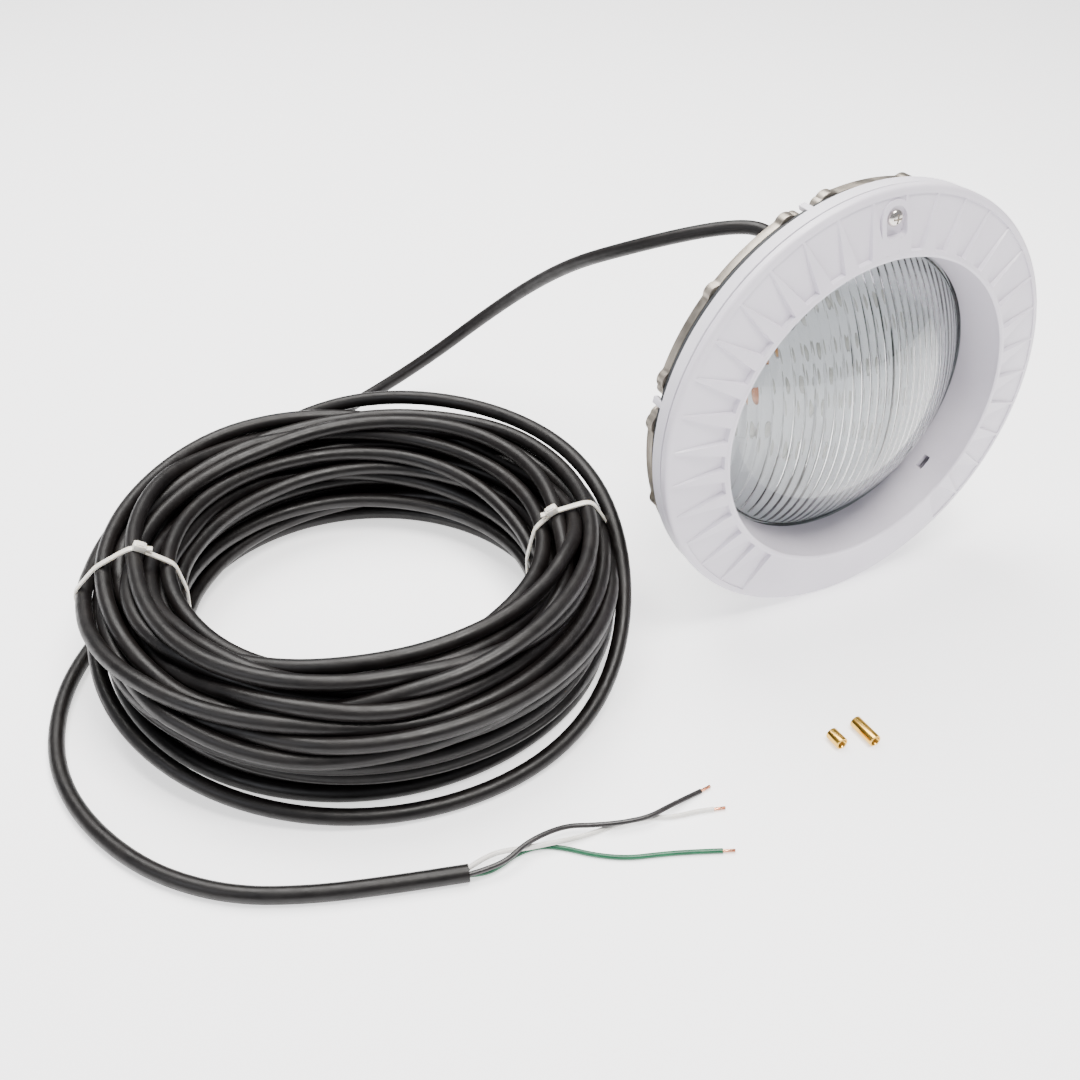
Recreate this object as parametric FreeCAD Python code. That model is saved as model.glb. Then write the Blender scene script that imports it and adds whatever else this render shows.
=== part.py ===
"""Underwater pool light with its cord, as separate pieces. Millimetres.

The light's axis is Y: its face looks towards -Y, its back and cord gland towards +Y, and +Z is up.
The origin is on that axis, in the plane where the housing's round spigot leaves its flange.
The light stands on its rim on a level surface, and its cord lies coiled beside it.
"""

import FreeCAD, Part
import math
import os

V = FreeCAD.Vector

# ---- face ring -----------------------------------------------------------------------------
rim_radius = 135.0
shoulder_width = 4.2
shoulder_depth = 3.4
face_rise = 7.4
lip_radius = 97.3
lip_width = 3.1
lip_crest = 0.8
ring_wall = 3.0
ring_band = 3.0
wall_foot_gap = 0.4
fin_pitch_deg = 10.0
fin_turn_deg = 3.2
fin_half_deg = 2.6
fin_tip_half_deg = 0.3
plain_half_deg = 32.0
pocket_edge_depth = 0.4
pocket_lip_depth = 2.3
window_clock_deg = 132.0
window_width = 9.0
window_height = 4.4

# ---- carrier ring, gasket and clamp band ---------------------------------------------------
parting_gap = 0.8
carrier_band = 10.2
carrier_flange = 3.0
rim_inset = 0.5
flange_gap = 2.4
seat_lip = 0.3
gasket_thickness = 1.2
gasket_outer = 127.0
gasket_inner = 114.5
clamp_outer = 129.5
clamp_inner = 121.9
clamp_thickness = 4.7
clamp_count = 6
clamp_pitch_deg = 60.0
clamp_first_deg = 12.0
clamp_gap_deg = 3.4
clamp_ear_radius = 4.6
clamp_screw_circle = 125.3
clamp_screws_each = 3
clamp_screw_step_deg = 24.0
clamp_screw_radius = 1.9
thread_gap = 0.05
clamp_screw_length = 10.6
clamp_head_radius = 3.6
clamp_head_height = 2.4
post_radius = 4.2
post_depth = 9.0
hook_width = 4.4
hook_reach = 5.6
bottom_tab_width = 22.0
bottom_tab_reach = 12.0
bottom_tab_thickness = 3.4

# ---- lens and housing ----------------------------------------------------------------------
lens_sphere = 126.5
lens_wall = 4.0
lens_apex = -36.4
lens_flange_radius = 104.6
lens_flange_front = 2.6
lens_flange_thickness = 4.0
lens_gasket_thickness = 2.0
lens_gasket_inner = 96.5
spigot_radius = 112.0
spigot_length = 12.0
housing_wall = 3.0
housing_flange = 1.5
shoulder_radius = 103.5
shoulder_y = 22.0
waist_radius = 88.0
waist_y = 46.0
back_radius = 75.0
back_y = 60.0
side_gap = 0.4

# ---- pilot screw ---------------------------------------------------------------------------
pilot_circle = 119.0
pilot_thread_radius = 2.4
pilot_shank_radius = 2.0
pilot_head_radius = 4.7
pilot_head_height = 3.4
pilot_reach = 16.0
pilot_clearance = 0.4
pilot_hole_radius = 3.2
pilot_relief_radius = 5.2
pilot_travel = 7.0
recess_radius = 7.0
recess_run = 9.0
recess_floor = -20.2
boss_radius = 10.0
boss_wall = 3.6
washer_radius = 4.6
washer_thickness = 1.2
running_gap = 0.08

# ---- light engine --------------------------------------------------------------------------
reflector_radius = 95.5
reflector_floor = 72.0
reflector_depth = 14.0
reflector_wall = 1.6
reflector_y = 11.0
engine_gap = 0.5
board_radius = 70.0
board_thickness = 1.6
led_size = 7.0
led_height = 1.6
led_rings = ((50.0, 12, 0.0), (22.0, 6, 30.0))
optic_radius = 5.6
optic_height = 5.0
sink_thickness = 4.0
sink_post_radius = 3.2
sink_fins = 10
sink_fin_pitch = 12.0
sink_fin_thickness = 1.8
sink_fin_height = 5.0
driver_half_x = 42.0
driver_half_z = 30.0
driver_drop = 16.0
standoff_radius = 3.0
capacitor_radius = 5.0
transformer_size = (24.0, 7.0, 18.0)
terminal_size = (20.0, 6.5, 8.0)
board_screw_radius = 1.4

# ---- cord and its gland --------------------------------------------------------------------
cord_diameter = 9.3
gland_x = 16.0
gland_z = 57.0
gland_thread_radius = 9.0
gland_flange_radius = 12.0
gland_flange_length = 4.0
gland_body_length = 12.0
gland_nut_radius = 12.5
gland_nut_length = 13.0
gland_seal_length = 9.0
gland_seal_radius = 7.4
locknut_radius = 12.0
locknut_length = 4.0
oring_section = 1.0
conductor_diameter = 2.8
strand_radius = 0.9
strand_length = 6.5

coil_centre = (-282.8, 83.1)
coil_mean_radius = 132.2
coil_half_width = 31.4
coil_height = 83.0
coil_corner = 26.0
tie_angles_deg = (165.0, -19.0)
tie_names = ("left", "right")
tie_width = 4.0
tie_thickness = 1.3
tie_head = (8.0, 5.6, 5.0)
tie_head_tilt_deg = 30.0

# ---- loose sleeves for the pilot screw -----------------------------------------------------
sleeve_outer = 3.75
sleeve_bore = 2.5
sleeves = {"sleeve_long": (-66.3, -136.0, 18.0), "sleeve_short": (-84.2, -133.2, 10.0)}

# ---- planes and radii that follow from the sizes above -------------------------------------
floor_z = -rim_radius
seat_y = -flange_gap
gasket_front = seat_y - seat_lip
carrier_front = seat_y - carrier_band
ring_back = carrier_front - parting_gap
shoulder_front = ring_back - ring_band - shoulder_depth
face_radius = rim_radius - shoulder_width
face_end_radius = lip_radius + lip_width
face_end = shoulder_front - face_rise
crest_y = face_end - lip_crest
wall_foot = lens_flange_front - wall_foot_gap
lens_flange_back = lens_flange_front + lens_flange_thickness
ledge_y = lens_flange_back + lens_gasket_thickness
housing_inner = spigot_radius - housing_wall
lens_centre_y = lens_apex + lens_sphere
lens_edge_radius = math.sqrt(lens_sphere ** 2 - (lens_centre_y - lens_flange_front) ** 2)
wall_foot_radius = lens_edge_radius + 2.0
carrier_neck = lens_flange_radius
boss_back = recess_floor + boss_wall
board_y = reflector_y + reflector_depth + engine_gap + led_height
sink_y = board_y + board_thickness
driver_y = sink_y + driver_drop
gland_mouth = back_y + gland_flange_length + gland_body_length + gland_nut_length * 0.35
coil_top = floor_z + coil_height


# ---- shapes --------------------------------------------------------------------------------
def at_clock(radius, degrees, y=0.0):
    """The point at a clock angle round the light's axis, 0 at the top, clockwise from in front."""
    angle = math.radians(degrees)
    return V(radius * math.sin(angle), y, radius * math.cos(angle))


def turned(shape, degrees):
    """A copy of a shape, turned round the light's axis to a clock angle."""
    copy = shape.copy()
    copy.rotate(V(0, 0, 0), V(0, 1, 0), degrees)
    return copy


def revolved(points, sweep_deg=360.0):
    """A solid turned round Y from (radius, y) points; a three-value entry is an arc's middle point."""
    edges = []
    ring = [p for p in points if len(p) == 2]
    start = V(ring[0][0], ring[0][1], 0)
    here = start
    middle = None
    for p in points[1:] + [points[0]]:
        place = V(p[0], p[1], 0)
        if len(p) == 3:
            middle = place
            continue
        if middle is not None:
            edges.append(Part.Arc(here, middle, place).toShape())
        else:
            edges.append(Part.LineSegment(here, place).toShape())
        here = place
        middle = None
    face = Part.Face(Part.Wire(edges))
    return face.revolve(V(0, 0, 0), V(0, 1, 0), sweep_deg)


def ring_solid(inner, outer, y_low, y_high):
    """A plain ring round the light's axis."""
    return revolved([(inner, y_low), (outer, y_low), (outer, y_high), (inner, y_high)])


def rod(radius, place, length):
    """A cylinder along +Y from a point."""
    return Part.makeCylinder(radius, length, place, V(0, 1, 0))


def tube(radius, bore, place, length):
    """A hollow cylinder along +Y from a point."""
    return rod(radius, place, length).cut(rod(bore, place - V(0, 1, 0), length + 2))


def hexagon(radius, place, length):
    """A hexagonal bar along +Y from a point; the radius reaches its corners."""
    corners = [place + V(radius * math.cos(k * math.pi / 3), 0, radius * math.sin(k * math.pi / 3)) for k in range(7)]
    return Part.Face(Part.makePolygon(corners)).extrude(V(0, length, 0))


def box(centre, size):
    """A box from its centre and its three sides."""
    return Part.makeBox(*size, centre - V(*size) * 0.5)


def fused(shapes):
    """One solid from several that overlap."""
    whole = shapes[0].multiFuse(shapes[1:]).removeSplitter()
    return whole.Solids[0] if len(whole.Solids) == 1 else whole


def save(name, *solids):
    """Write one node's solids to its STEP file."""
    flat = []
    for shape in solids:
        flat.extend(shape.Solids)
    for solid in flat:
        if not solid.isValid() or solid.Volume <= 0:
            raise RuntimeError("bad solid in " + name)
    whole = flat[0] if len(flat) == 1 else Part.makeCompound(flat)
    whole.exportStep("parts/" + name + ".step")
    print("%-24s %2d solids %12.1f mm3" % (name, len(flat), sum(s.Volume for s in flat)))


# ---- face ring -----------------------------------------------------------------------------
def face_profile():
    """The face ring's section: rounded rim, sloping face, lip and deep funnel wall."""
    slope = face_rise / (face_radius - face_end_radius)
    bulge = 1.3
    back_lip = lip_radius + ring_wall
    return [
        (rim_radius, ring_back),
        (rim_radius, ring_back - ring_band),
        (rim_radius - shoulder_width * 0.26, shoulder_front + shoulder_depth * 0.28, 0),
        (face_radius, shoulder_front),
        (face_end_radius, face_end),
        (lip_radius + lip_width * 0.42, crest_y, 0),
        (lip_radius, face_end),
        ((lip_radius + wall_foot_radius) / 2 + bulge, (face_end + wall_foot) / 2 - 4.0, 0),
        (wall_foot_radius, wall_foot),
        (wall_foot_radius + ring_wall, wall_foot),
        ((back_lip + wall_foot_radius + ring_wall) / 2 + bulge, (face_end + wall_foot) / 2 - 3.0, 0),
        (back_lip, face_end + ring_wall + 0.6),
        (rim_radius - ring_wall, face_end + ring_wall + (rim_radius - back_lip) * slope),
        (rim_radius - ring_wall, ring_back),
    ]


def pocket():
    """The wedge that is sunk between two fins, its floor deeper at the lip than at the rim."""
    half = fin_pitch_deg / 2
    outer = face_radius - 0.4
    inner = face_end_radius + 0.6
    surface_inner = shoulder_front - face_rise * (face_radius - inner) / (face_radius - face_end_radius)
    outer_y = shoulder_front + pocket_edge_depth
    inner_y = surface_inner + pocket_lip_depth
    corners = [
        at_clock(outer, fin_tip_half_deg - half, outer_y),
        at_clock(outer, half - fin_tip_half_deg, outer_y),
        at_clock(inner, half - fin_half_deg, inner_y),
        at_clock(inner, fin_half_deg - half, inner_y),
    ]
    floor = Part.Face(Part.makePolygon(corners + [corners[0]]))
    return floor.extrude(V(0, -(face_rise + shoulder_depth), 0))


def face_ring():
    """The moulded trim ring with its fins, pilot screw recess and wall window."""
    body = revolved(face_profile())
    top = V(0, recess_floor, pilot_circle)
    body = body.fuse(rod(boss_radius, top, boss_wall))
    steps = int(360 / fin_pitch_deg)
    cutters = []
    for k in range(steps):
        middle = fin_turn_deg + fin_pitch_deg * (k + 0.5)
        from_bottom = abs(middle % 360 - 180)
        if from_bottom > plain_half_deg:
            cutters.append(turned(pocket(), middle))
    recess = rod(recess_radius, V(0, -2 * rim_radius, pilot_circle), 2 * rim_radius + recess_floor)
    run = Part.makeBox(2 * recess_radius, 2 * rim_radius + recess_floor, recess_run,
                       V(-recess_radius, -2 * rim_radius, pilot_circle - recess_run))
    hole = rod(pilot_shank_radius + pilot_clearance, V(0, -2 * rim_radius, pilot_circle), 2 * rim_radius)
    window_y = (wall_foot + crest_y) / 2 + 4.0
    window = Part.makeBox(window_width, window_height, 16.0,
                          V(-window_width / 2, window_y - window_height / 2, wall_foot_radius - 6.0))
    fins = body.cut(cutters)
    keep = rod(boss_radius, V(0, recess_floor - 3.4, pilot_circle), 3.4 + boss_wall)
    apron = keep.common(revolved(face_profile()))
    return fins.fuse(apron).cut([recess, run, hole, turned(window, window_clock_deg)])


# ---- carrier ring --------------------------------------------------------------------------
def hook_angles():
    """The clock angles of the gaps between clamp segments, where the hooks pass."""
    return [clamp_first_deg + clamp_pitch_deg * (k + 0.5) for k in range(clamp_count)]


def clamp_angles(middle):
    """The clock angles of one clamp segment's screws."""
    first = -(clamp_screws_each - 1) / 2.0
    return [middle + clamp_screw_step_deg * (first + k) for k in range(clamp_screws_each)]


def all_clamp_angles():
    """Every clamp screw's clock angle."""
    angles = []
    for k in range(clamp_count):
        angles.extend(clamp_angles(clamp_first_deg + clamp_pitch_deg * k))
    return angles


def carrier_ring():
    """The rear ring behind the face ring: band, flange, neck on the lens, posts, hooks and tab."""
    outer = rim_radius - rim_inset
    flange_front = gasket_front - carrier_flange
    band = ring_solid(outer - carrier_flange, outer, carrier_front, seat_y)
    flange = ring_solid(carrier_neck - carrier_flange, outer - 1, flange_front, gasket_front)
    neck = ring_solid(carrier_neck - carrier_flange, carrier_neck, flange_front, lens_flange_front)
    pieces = [band, flange, neck]
    for angle in all_clamp_angles():
        foot = at_clock(clamp_screw_circle, angle, flange_front - post_depth + 3)
        pieces.append(rod(post_radius, foot, post_depth - 2))
    for angle in hook_angles():
        hook = Part.makeBox(hook_width, hook_reach + 1, 3.2, V(-hook_width / 2, seat_y - 1, clamp_outer - 2.0))
        pieces.append(turned(hook, angle))
    tab_z = -(outer - 0.6)
    pieces.append(Part.makeBox(bottom_tab_width, bottom_tab_reach + 2, bottom_tab_thickness,
                               V(-bottom_tab_width / 2, seat_y - 2, tab_z + bottom_tab_drop())))
    body = fused(pieces)
    holes = [rod(clamp_screw_radius + thread_gap, at_clock(clamp_screw_circle, a, -clamp_screw_end()),
                 2 * clamp_screw_end()) for a in all_clamp_angles()]
    holes.append(rod(pilot_hole_radius, V(0, flange_front - 1, pilot_circle), carrier_flange + 2))
    return body.cut(holes)


def bottom_tab_drop():
    """How far the tab's underside is above the rim's lowest line, so that the rim carries the light."""
    half = bottom_tab_width / 2
    outer = rim_radius - rim_inset
    return outer - math.sqrt(outer ** 2 - half ** 2)


def clamp_screw_end():
    """How deep the clamp screws reach in front of the housing flange's back."""
    return clamp_screw_length - clamp_thickness


# ---- lens and gaskets ----------------------------------------------------------------------
def lens():
    """The domed lens with its flat rim flange."""
    inner_sphere = lens_sphere - lens_wall
    inner_edge = math.sqrt(inner_sphere ** 2 - (lens_centre_y - lens_flange_back) ** 2)
    half_angle = 0.5 * math.asin(lens_edge_radius / lens_sphere)
    inner_half = 0.5 * math.asin(inner_edge / inner_sphere)
    return revolved([
        (0, lens_apex),
        (lens_sphere * math.sin(half_angle), lens_centre_y - lens_sphere * math.cos(half_angle), 0),
        (lens_edge_radius, lens_flange_front),
        (lens_flange_radius, lens_flange_front),
        (lens_flange_radius, lens_flange_back),
        (inner_edge, lens_flange_back),
        (inner_sphere * math.sin(inner_half), lens_centre_y - inner_sphere * math.cos(inner_half), 0),
        (0, lens_centre_y - inner_sphere),
    ])


def flange_gasket():
    """The flat gasket between the carrier ring and the housing flange."""
    sheet = ring_solid(gasket_inner, gasket_outer, gasket_front, gasket_front + gasket_thickness)
    holes = [rod(clamp_screw_radius + 0.3, at_clock(clamp_screw_circle, a, gasket_front - 1), 4)
             for a in all_clamp_angles()]
    holes.append(rod(pilot_hole_radius, V(0, gasket_front - 1, pilot_circle), 4))
    return sheet.cut(holes)


# ---- housing and clamp band ----------------------------------------------------------------
def housing():
    """The bowl behind the lens, with its flange, spigot, lens ledge and cord hole."""
    t = housing_wall
    body = revolved([
        (gasket_outer, gasket_front + gasket_thickness),
        (gasket_outer, 0),
        (spigot_radius, 0),
        (spigot_radius, spigot_length),
        (shoulder_radius + 2.2, shoulder_y - 3.2, 0),
        (shoulder_radius, shoulder_y),
        (waist_radius, waist_y),
        (back_radius + 4.5, back_y - 3.6, 0),
        (back_radius, back_y),
        (0, back_y),
        (0, back_y - t),
        (back_radius - t, back_y - t),
        (waist_radius - t, waist_y - t / 2),
        (lens_gasket_inner, ledge_y + t),
        (lens_gasket_inner, ledge_y),
        (housing_inner, ledge_y),
        (housing_inner, gasket_front + gasket_thickness),
    ])
    cuts = [rod(clamp_screw_radius + 0.3, at_clock(clamp_screw_circle, a, -4), 8) for a in all_clamp_angles()]
    cuts.append(rod(pilot_hole_radius, V(0, -4, pilot_circle), 8))
    cuts.append(rod(gland_thread_radius, V(gland_x, back_y - 2 * t, gland_z), 4 * t))
    return body.cut(cuts)


def clamp_segment(middle):
    """One arc of the clamp band, with a round ear behind each screw and rolled ends."""
    mean = (clamp_inner + clamp_outer) / 2
    half_width = (clamp_outer - clamp_inner) / 2
    span = clamp_pitch_deg - clamp_gap_deg - 2 * math.degrees(math.asin(half_width / mean))
    section = revolved([(clamp_inner, 0), (clamp_outer, 0),
                        (clamp_outer, clamp_thickness), (clamp_inner, clamp_thickness)], span)
    arc = turned(section, middle - span / 2 - 90)
    pieces = [arc]
    for side in (-1, 1):
        pieces.append(rod(half_width, at_clock(mean, middle + side * span / 2, 0), clamp_thickness))
    for angle in clamp_angles(middle):
        pieces.append(rod(clamp_ear_radius, at_clock(clamp_screw_circle, angle, 0), clamp_thickness))
    body = fused(pieces)
    holes = [rod(clamp_screw_radius + 0.3, at_clock(clamp_screw_circle, a, -1), clamp_thickness + 2)
             for a in clamp_angles(middle)]
    holes.append(rod(pilot_relief_radius, V(0, -1, pilot_circle), clamp_thickness + 2))
    return body.cut(holes)


def clamp_screws():
    """The band's screws, heads at the back, shanks in the carrier ring's posts."""
    screws = []
    for angle in all_clamp_angles():
        shank = rod(clamp_screw_radius, at_clock(clamp_screw_circle, angle, -clamp_screw_end()), clamp_screw_length)
        head = rod(clamp_head_radius, at_clock(clamp_screw_circle, angle, clamp_thickness), clamp_head_height)
        screws.append(shank.fuse(head).removeSplitter())
    return screws


# ---- pilot screw ---------------------------------------------------------------------------
def pilot_screw():
    """The captive screw at 12 o'clock, with a cross recess in its pan head."""
    under = recess_floor
    head = rod(pilot_head_radius, V(0, under - pilot_head_height, pilot_circle), pilot_head_height)
    top = under - pilot_head_height
    dome = Part.makeSphere(pilot_head_radius * 1.25, V(0, top + pilot_head_radius, pilot_circle))
    side = rod(pilot_head_radius, V(0, under - pilot_head_height * 0.55, pilot_circle), pilot_head_height)
    head = head.common(dome.fuse(side))
    shank = rod(pilot_shank_radius, V(0, under, pilot_circle), -under)
    thread = rod(pilot_thread_radius, V(0, 0, pilot_circle), pilot_reach)
    body = fused([head, shank, thread])
    slot_depth = pilot_head_height * 0.6
    cross_y = under - pilot_head_height + slot_depth / 2
    cross = [box(V(0, cross_y, pilot_circle), (1.2, slot_depth, 5.2)),
             box(V(0, cross_y, pilot_circle), (5.2, slot_depth, 1.2))]
    return body.cut(cross)


def pilot_washer():
    """The push-on washer that keeps the pilot screw in the face ring."""
    start = V(0, boss_back + pilot_travel + 0.2, pilot_circle)
    return tube(washer_radius, pilot_shank_radius + running_gap, start, washer_thickness)


# ---- light engine --------------------------------------------------------------------------
def led_places():
    """The clock angle and radius of every light source."""
    places = [(0.0, 0.0)]
    for radius, count, turn in led_rings:
        places.extend((radius, turn + 360.0 * k / count) for k in range(count))
    return places


def reflector():
    """The white dished tray round the light sources."""
    rim_y = reflector_y
    floor_y = reflector_y + reflector_depth
    t = reflector_wall
    dish = revolved([
        (reflector_radius, rim_y),
        (reflector_floor, floor_y - t),
        (0, floor_y - t),
        (0, floor_y),
        (reflector_floor + 0.6, floor_y),
        (reflector_radius, rim_y + t),
    ])
    return dish.cut([rod(optic_radius + 0.4, at_clock(r, a, rim_y), 2 * reflector_depth) for r, a in led_places()])


def led_board():
    """The round aluminium circuit board."""
    board = rod(board_radius, V(0, board_y, 0), board_thickness)
    return board.cut(board_screw_holes(board_y - 1, board_thickness + 2))


def board_screw_holes(start_y, length):
    """Cutters for the board's screws."""
    return [rod(board_screw_radius, at_clock(board_radius - 6, a, start_y), length) for a in board_screw_angles()]


def led_emitters():
    """The square light sources on the board."""
    leds = []
    for radius, angle in led_places():
        leds.append(box(at_clock(radius, angle, board_y - led_height / 2), (led_size, led_height, led_size)))
    return leds


def led_optics():
    """The small clear lenslets over the light sources."""
    optics = []
    front = board_y - led_height
    for radius, angle in led_places():
        place = at_clock(radius, angle, front - optic_height)
        cup = rod(optic_radius, place, optic_height)
        dome = Part.makeSphere(optic_radius * 1.3, place + V(0, optic_radius * 1.3, 0))
        optics.append(cup.common(dome.fuse(rod(optic_radius, place + V(0, optic_height * 0.5, 0), optic_height))))
    return optics


def heat_sink():
    """The aluminium plate behind the board, with feet on the housing's back wall."""
    plate = rod(board_radius + 2, V(0, sink_y, 0), sink_thickness)
    feet = []
    length = back_y - housing_wall - sink_y - 1
    for angle in (45, 135, 225, 315):
        feet.append(rod(sink_post_radius, at_clock(board_radius - 4, angle, sink_y + 1), length))
    fins = []
    for k in range(sink_fins):
        x = (k - (sink_fins - 1) / 2) * sink_fin_pitch
        length = 2 * math.sqrt((board_radius - 8) ** 2 - x ** 2)
        fins.append(box(V(x, sink_y + sink_thickness + sink_fin_height / 2 - 0.5, 0),
                        (sink_fin_thickness, sink_fin_height + 1, length)))
    body = fused([plate] + feet + fins)
    return body.cut(board_screw_holes(sink_y - 1, sink_thickness))


def board_screw_angles():
    """The clock angles of the board's four screws."""
    return (0, 90, 180, 270)


def board_screws():
    """The screws that hold the board on the heat sink."""
    screws = []
    for angle in board_screw_angles():
        head = rod(2.6, at_clock(board_radius - 6, angle, board_y - 1.6), 1.6)
        shank = rod(board_screw_radius, at_clock(board_radius - 6, angle, board_y), board_thickness + sink_thickness - 1)
        screws.append(head.fuse(shank).removeSplitter())
    return screws


def driver_board():
    """The power board on its standoffs behind the heat sink."""
    return box(V(0, driver_y + board_thickness / 2, 0), (2 * driver_half_x, board_thickness, 2 * driver_half_z))


def standoffs():
    """The four posts between the heat sink and the power board."""
    posts = []
    start = sink_y + sink_thickness
    for x in (-1, 1):
        for z in (-1, 1):
            place = V(x * (driver_half_x - 6.0), start, z * (driver_half_z - 4))
            posts.append(rod(standoff_radius, place, driver_y - start))
    return posts


def driver_capacitors():
    """The upright capacitors on the power board."""
    top = driver_y + board_thickness
    return [rod(capacitor_radius, V(x, top, -18), 8.0) for x in (-30, -18, 18, 30)]


def driver_transformer():
    """The flat transformer on the power board."""
    size = transformer_size
    return box(V(-16, driver_y + board_thickness + size[1] / 2, 10), size)


def terminal_block():
    """The block where the cord's conductors are screwed down."""
    size = terminal_size
    return box(V(gland_x + 8, driver_y + board_thickness + size[1] / 2, 20), size)


# ---- gland ---------------------------------------------------------------------------------
def gland_place(y):
    """A point on the cord gland's axis."""
    return V(gland_x, y, gland_z)


def gland_body():
    """The gland's threaded body, with its flange on the outside of the back wall."""
    t = housing_wall
    flange = hexagon(gland_flange_radius, gland_place(back_y + oring_section), gland_flange_length)
    thread = rod(gland_thread_radius, gland_place(back_y - t - locknut_length - 1), t + locknut_length + 2 + oring_section)
    front = rod(gland_thread_radius, gland_place(back_y + gland_flange_length), gland_body_length)
    body = fused([flange, thread, front])
    bore = rod(cord_diameter / 2 + 0.3, gland_place(back_y - 20), 60)
    socket = rod(gland_seal_radius, gland_place(gland_front() - gland_seal_length), 40)
    return body.cut([bore, socket])


def gland_front():
    """The y of the gland body's outer end."""
    return back_y + gland_flange_length + gland_body_length


def gland_seal():
    """The rubber sleeve that grips the cord."""
    return tube(gland_seal_radius, cord_diameter / 2, gland_place(gland_front() - gland_seal_length), gland_seal_length)


def gland_nut():
    """The cap nut that squeezes the seal."""
    start = gland_front() - gland_nut_length * 0.65
    outer = hexagon(gland_nut_radius, gland_place(start), gland_nut_length * 0.7)
    cone = Part.makeCone(gland_nut_radius * 0.86, cord_diameter / 2 + 2.2, gland_nut_length * 0.3,
                         gland_place(start + gland_nut_length * 0.7), V(0, 1, 0))
    body = outer.fuse(cone)
    bore = rod(cord_diameter / 2 + 0.3, gland_place(start - 1), gland_nut_length + 2)
    thread = rod(gland_thread_radius, gland_place(start - 1), gland_front() - start + 1)
    return body.cut([bore, thread])


def gland_locknut():
    """The nut on the inside of the back wall."""
    place = gland_place(back_y - housing_wall - locknut_length)
    return hexagon(locknut_radius, place, locknut_length).cut(rod(gland_thread_radius, place - V(0, 1, 0), locknut_length + 2))


def gland_oring():
    """The seal between the gland's flange and the back wall."""
    return tube(gland_thread_radius + 1.6, gland_thread_radius, gland_place(back_y), oring_section)


# ---- cord ----------------------------------------------------------------------------------
lead_route = [
    (16.0, 50.0, 57.0), (16.0, 98.0, 57.0), (3.0, 122.0, 54.5), (-20.0, 148.0, 46.0), (-45.0, 183.0, 29.0),
    (-61.0, 222.0, 8.0), (-75.0, 261.0, -22.0), (-98.0, 293.0, -56.0), (-132.0, 312.0, -88.0),
    (-172.0, 326.0, -115.0), (-213.0, 326.5, -129.0), (-250.0, 312.0, -130.35), (-285.0, 291.0, -130.35),
    (-321.0, 266.0, -130.35), (-354.0, 234.0, -130.35), (-380.0, 200.0, -130.35),
]
tail_route = [
    (-404.0, 170.0, -130.35), (-432.0, 147.0, -130.35), (-455.0, 118.0, -130.35), (-470.0, 85.0, -130.35),
    (-477.5, 49.0, -130.35), (-475.0, 12.0, -130.35), (-463.5, -24.0, -130.35), (-445.0, -56.0, -130.35),
    (-417.0, -83.0, -130.35), (-383.0, -100.0, -130.35), (-346.0, -112.5, -130.35), (-308.0, -123.8, -130.35),
]
conductor_routes = {
    "conductor_green": [
        (-308.4, -123.5, -132.0), (-300.0, -126.0, -133.2), (-290.5, -124.6, -133.6), (-280.0, -121.4, -133.6),
        (-267.0, -122.4, -133.6), (-256.0, -130.0, -133.6), (-245.0, -141.0, -133.6), (-231.0, -150.5, -133.6),
        (-215.0, -156.0, -133.6), (-200.0, -162.0, -133.6), (-185.0, -169.0, -133.6),
    ],
    "conductor_white": [
        (-307.6, -121.9, -129.2), (-299.0, -119.6, -129.4), (-288.0, -119.0, -129.9), (-276.0, -122.8, -130.3),
        (-262.0, -126.2, -130.1), (-248.0, -127.6, -132.6), (-234.0, -128.2, -133.6), (-220.0, -128.6, -133.6),
        (-208.0, -132.0, -133.6), (-195.0, -138.2, -133.6), (-182.0, -140.4, -133.6), (-173.5, -143.2, -133.6),
    ],
    "conductor_black": [
        (-308.5, -125.6, -129.2), (-299.5, -127.0, -128.9), (-288.0, -127.4, -127.9), (-276.5, -123.2, -126.8),
        (-264.0, -121.4, -126.9), (-250.0, -121.0, -128.6), (-238.0, -125.6, -130.0), (-224.0, -131.0, -130.1),
        (-209.0, -134.6, -130.0), (-196.0, -132.8, -130.6), (-184.0, -130.4, -132.8), (-172.5, -129.2, -133.6),
    ],
}


def route_edges(route):
    """Straight runs joined by tangent arcs, each arc as large as its two runs allow."""
    points = [V(*p) for p in route]
    edges = []
    radii = []
    here = points[0]
    for before, corner, after in zip(points, points[1:], points[2:]):
        back = before - corner
        ahead = after - corner
        run = min(back.Length, ahead.Length)
        back.normalize()
        ahead.normalize()
        half_turn = (math.pi - back.getAngle(ahead)) / 2
        reach = 0.45 * run
        radius = reach / math.tan(half_turn)
        radii.append(radius)
        start = corner + back * reach
        end = corner + ahead * reach
        middle_way = back + ahead
        middle_way.normalize()
        middle = corner + middle_way * (radius / math.cos(half_turn) - radius)
        edges.append(Part.LineSegment(here, start).toShape())
        edges.append(Part.Arc(start, middle, end).toShape())
        here = end
    edges.append(Part.LineSegment(here, points[-1]).toShape())
    return edges, radii


def cord_tube(name, route, diameter):
    """A round tube along a route, with its radii and volume printed."""
    edges, radii = route_edges(route)
    path = Part.Wire(edges)
    start = V(*route[0])
    heading = V(*route[1]) - start
    section = Part.Wire([Part.makeCircle(diameter / 2, start, heading)])
    solid = path.makePipeShell([section], True, False)
    ideal = math.pi * diameter ** 2 / 4 * path.Length
    print("%-18s length %8.1f  volume / ideal %.4f  radii / diameter %s" % (
        name, path.Length, solid.Volume / ideal, " ".join("%.1f" % (r / diameter) for r in radii)))
    return solid if isinstance(solid, Part.Solid) else solid.Solids[0]


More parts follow.
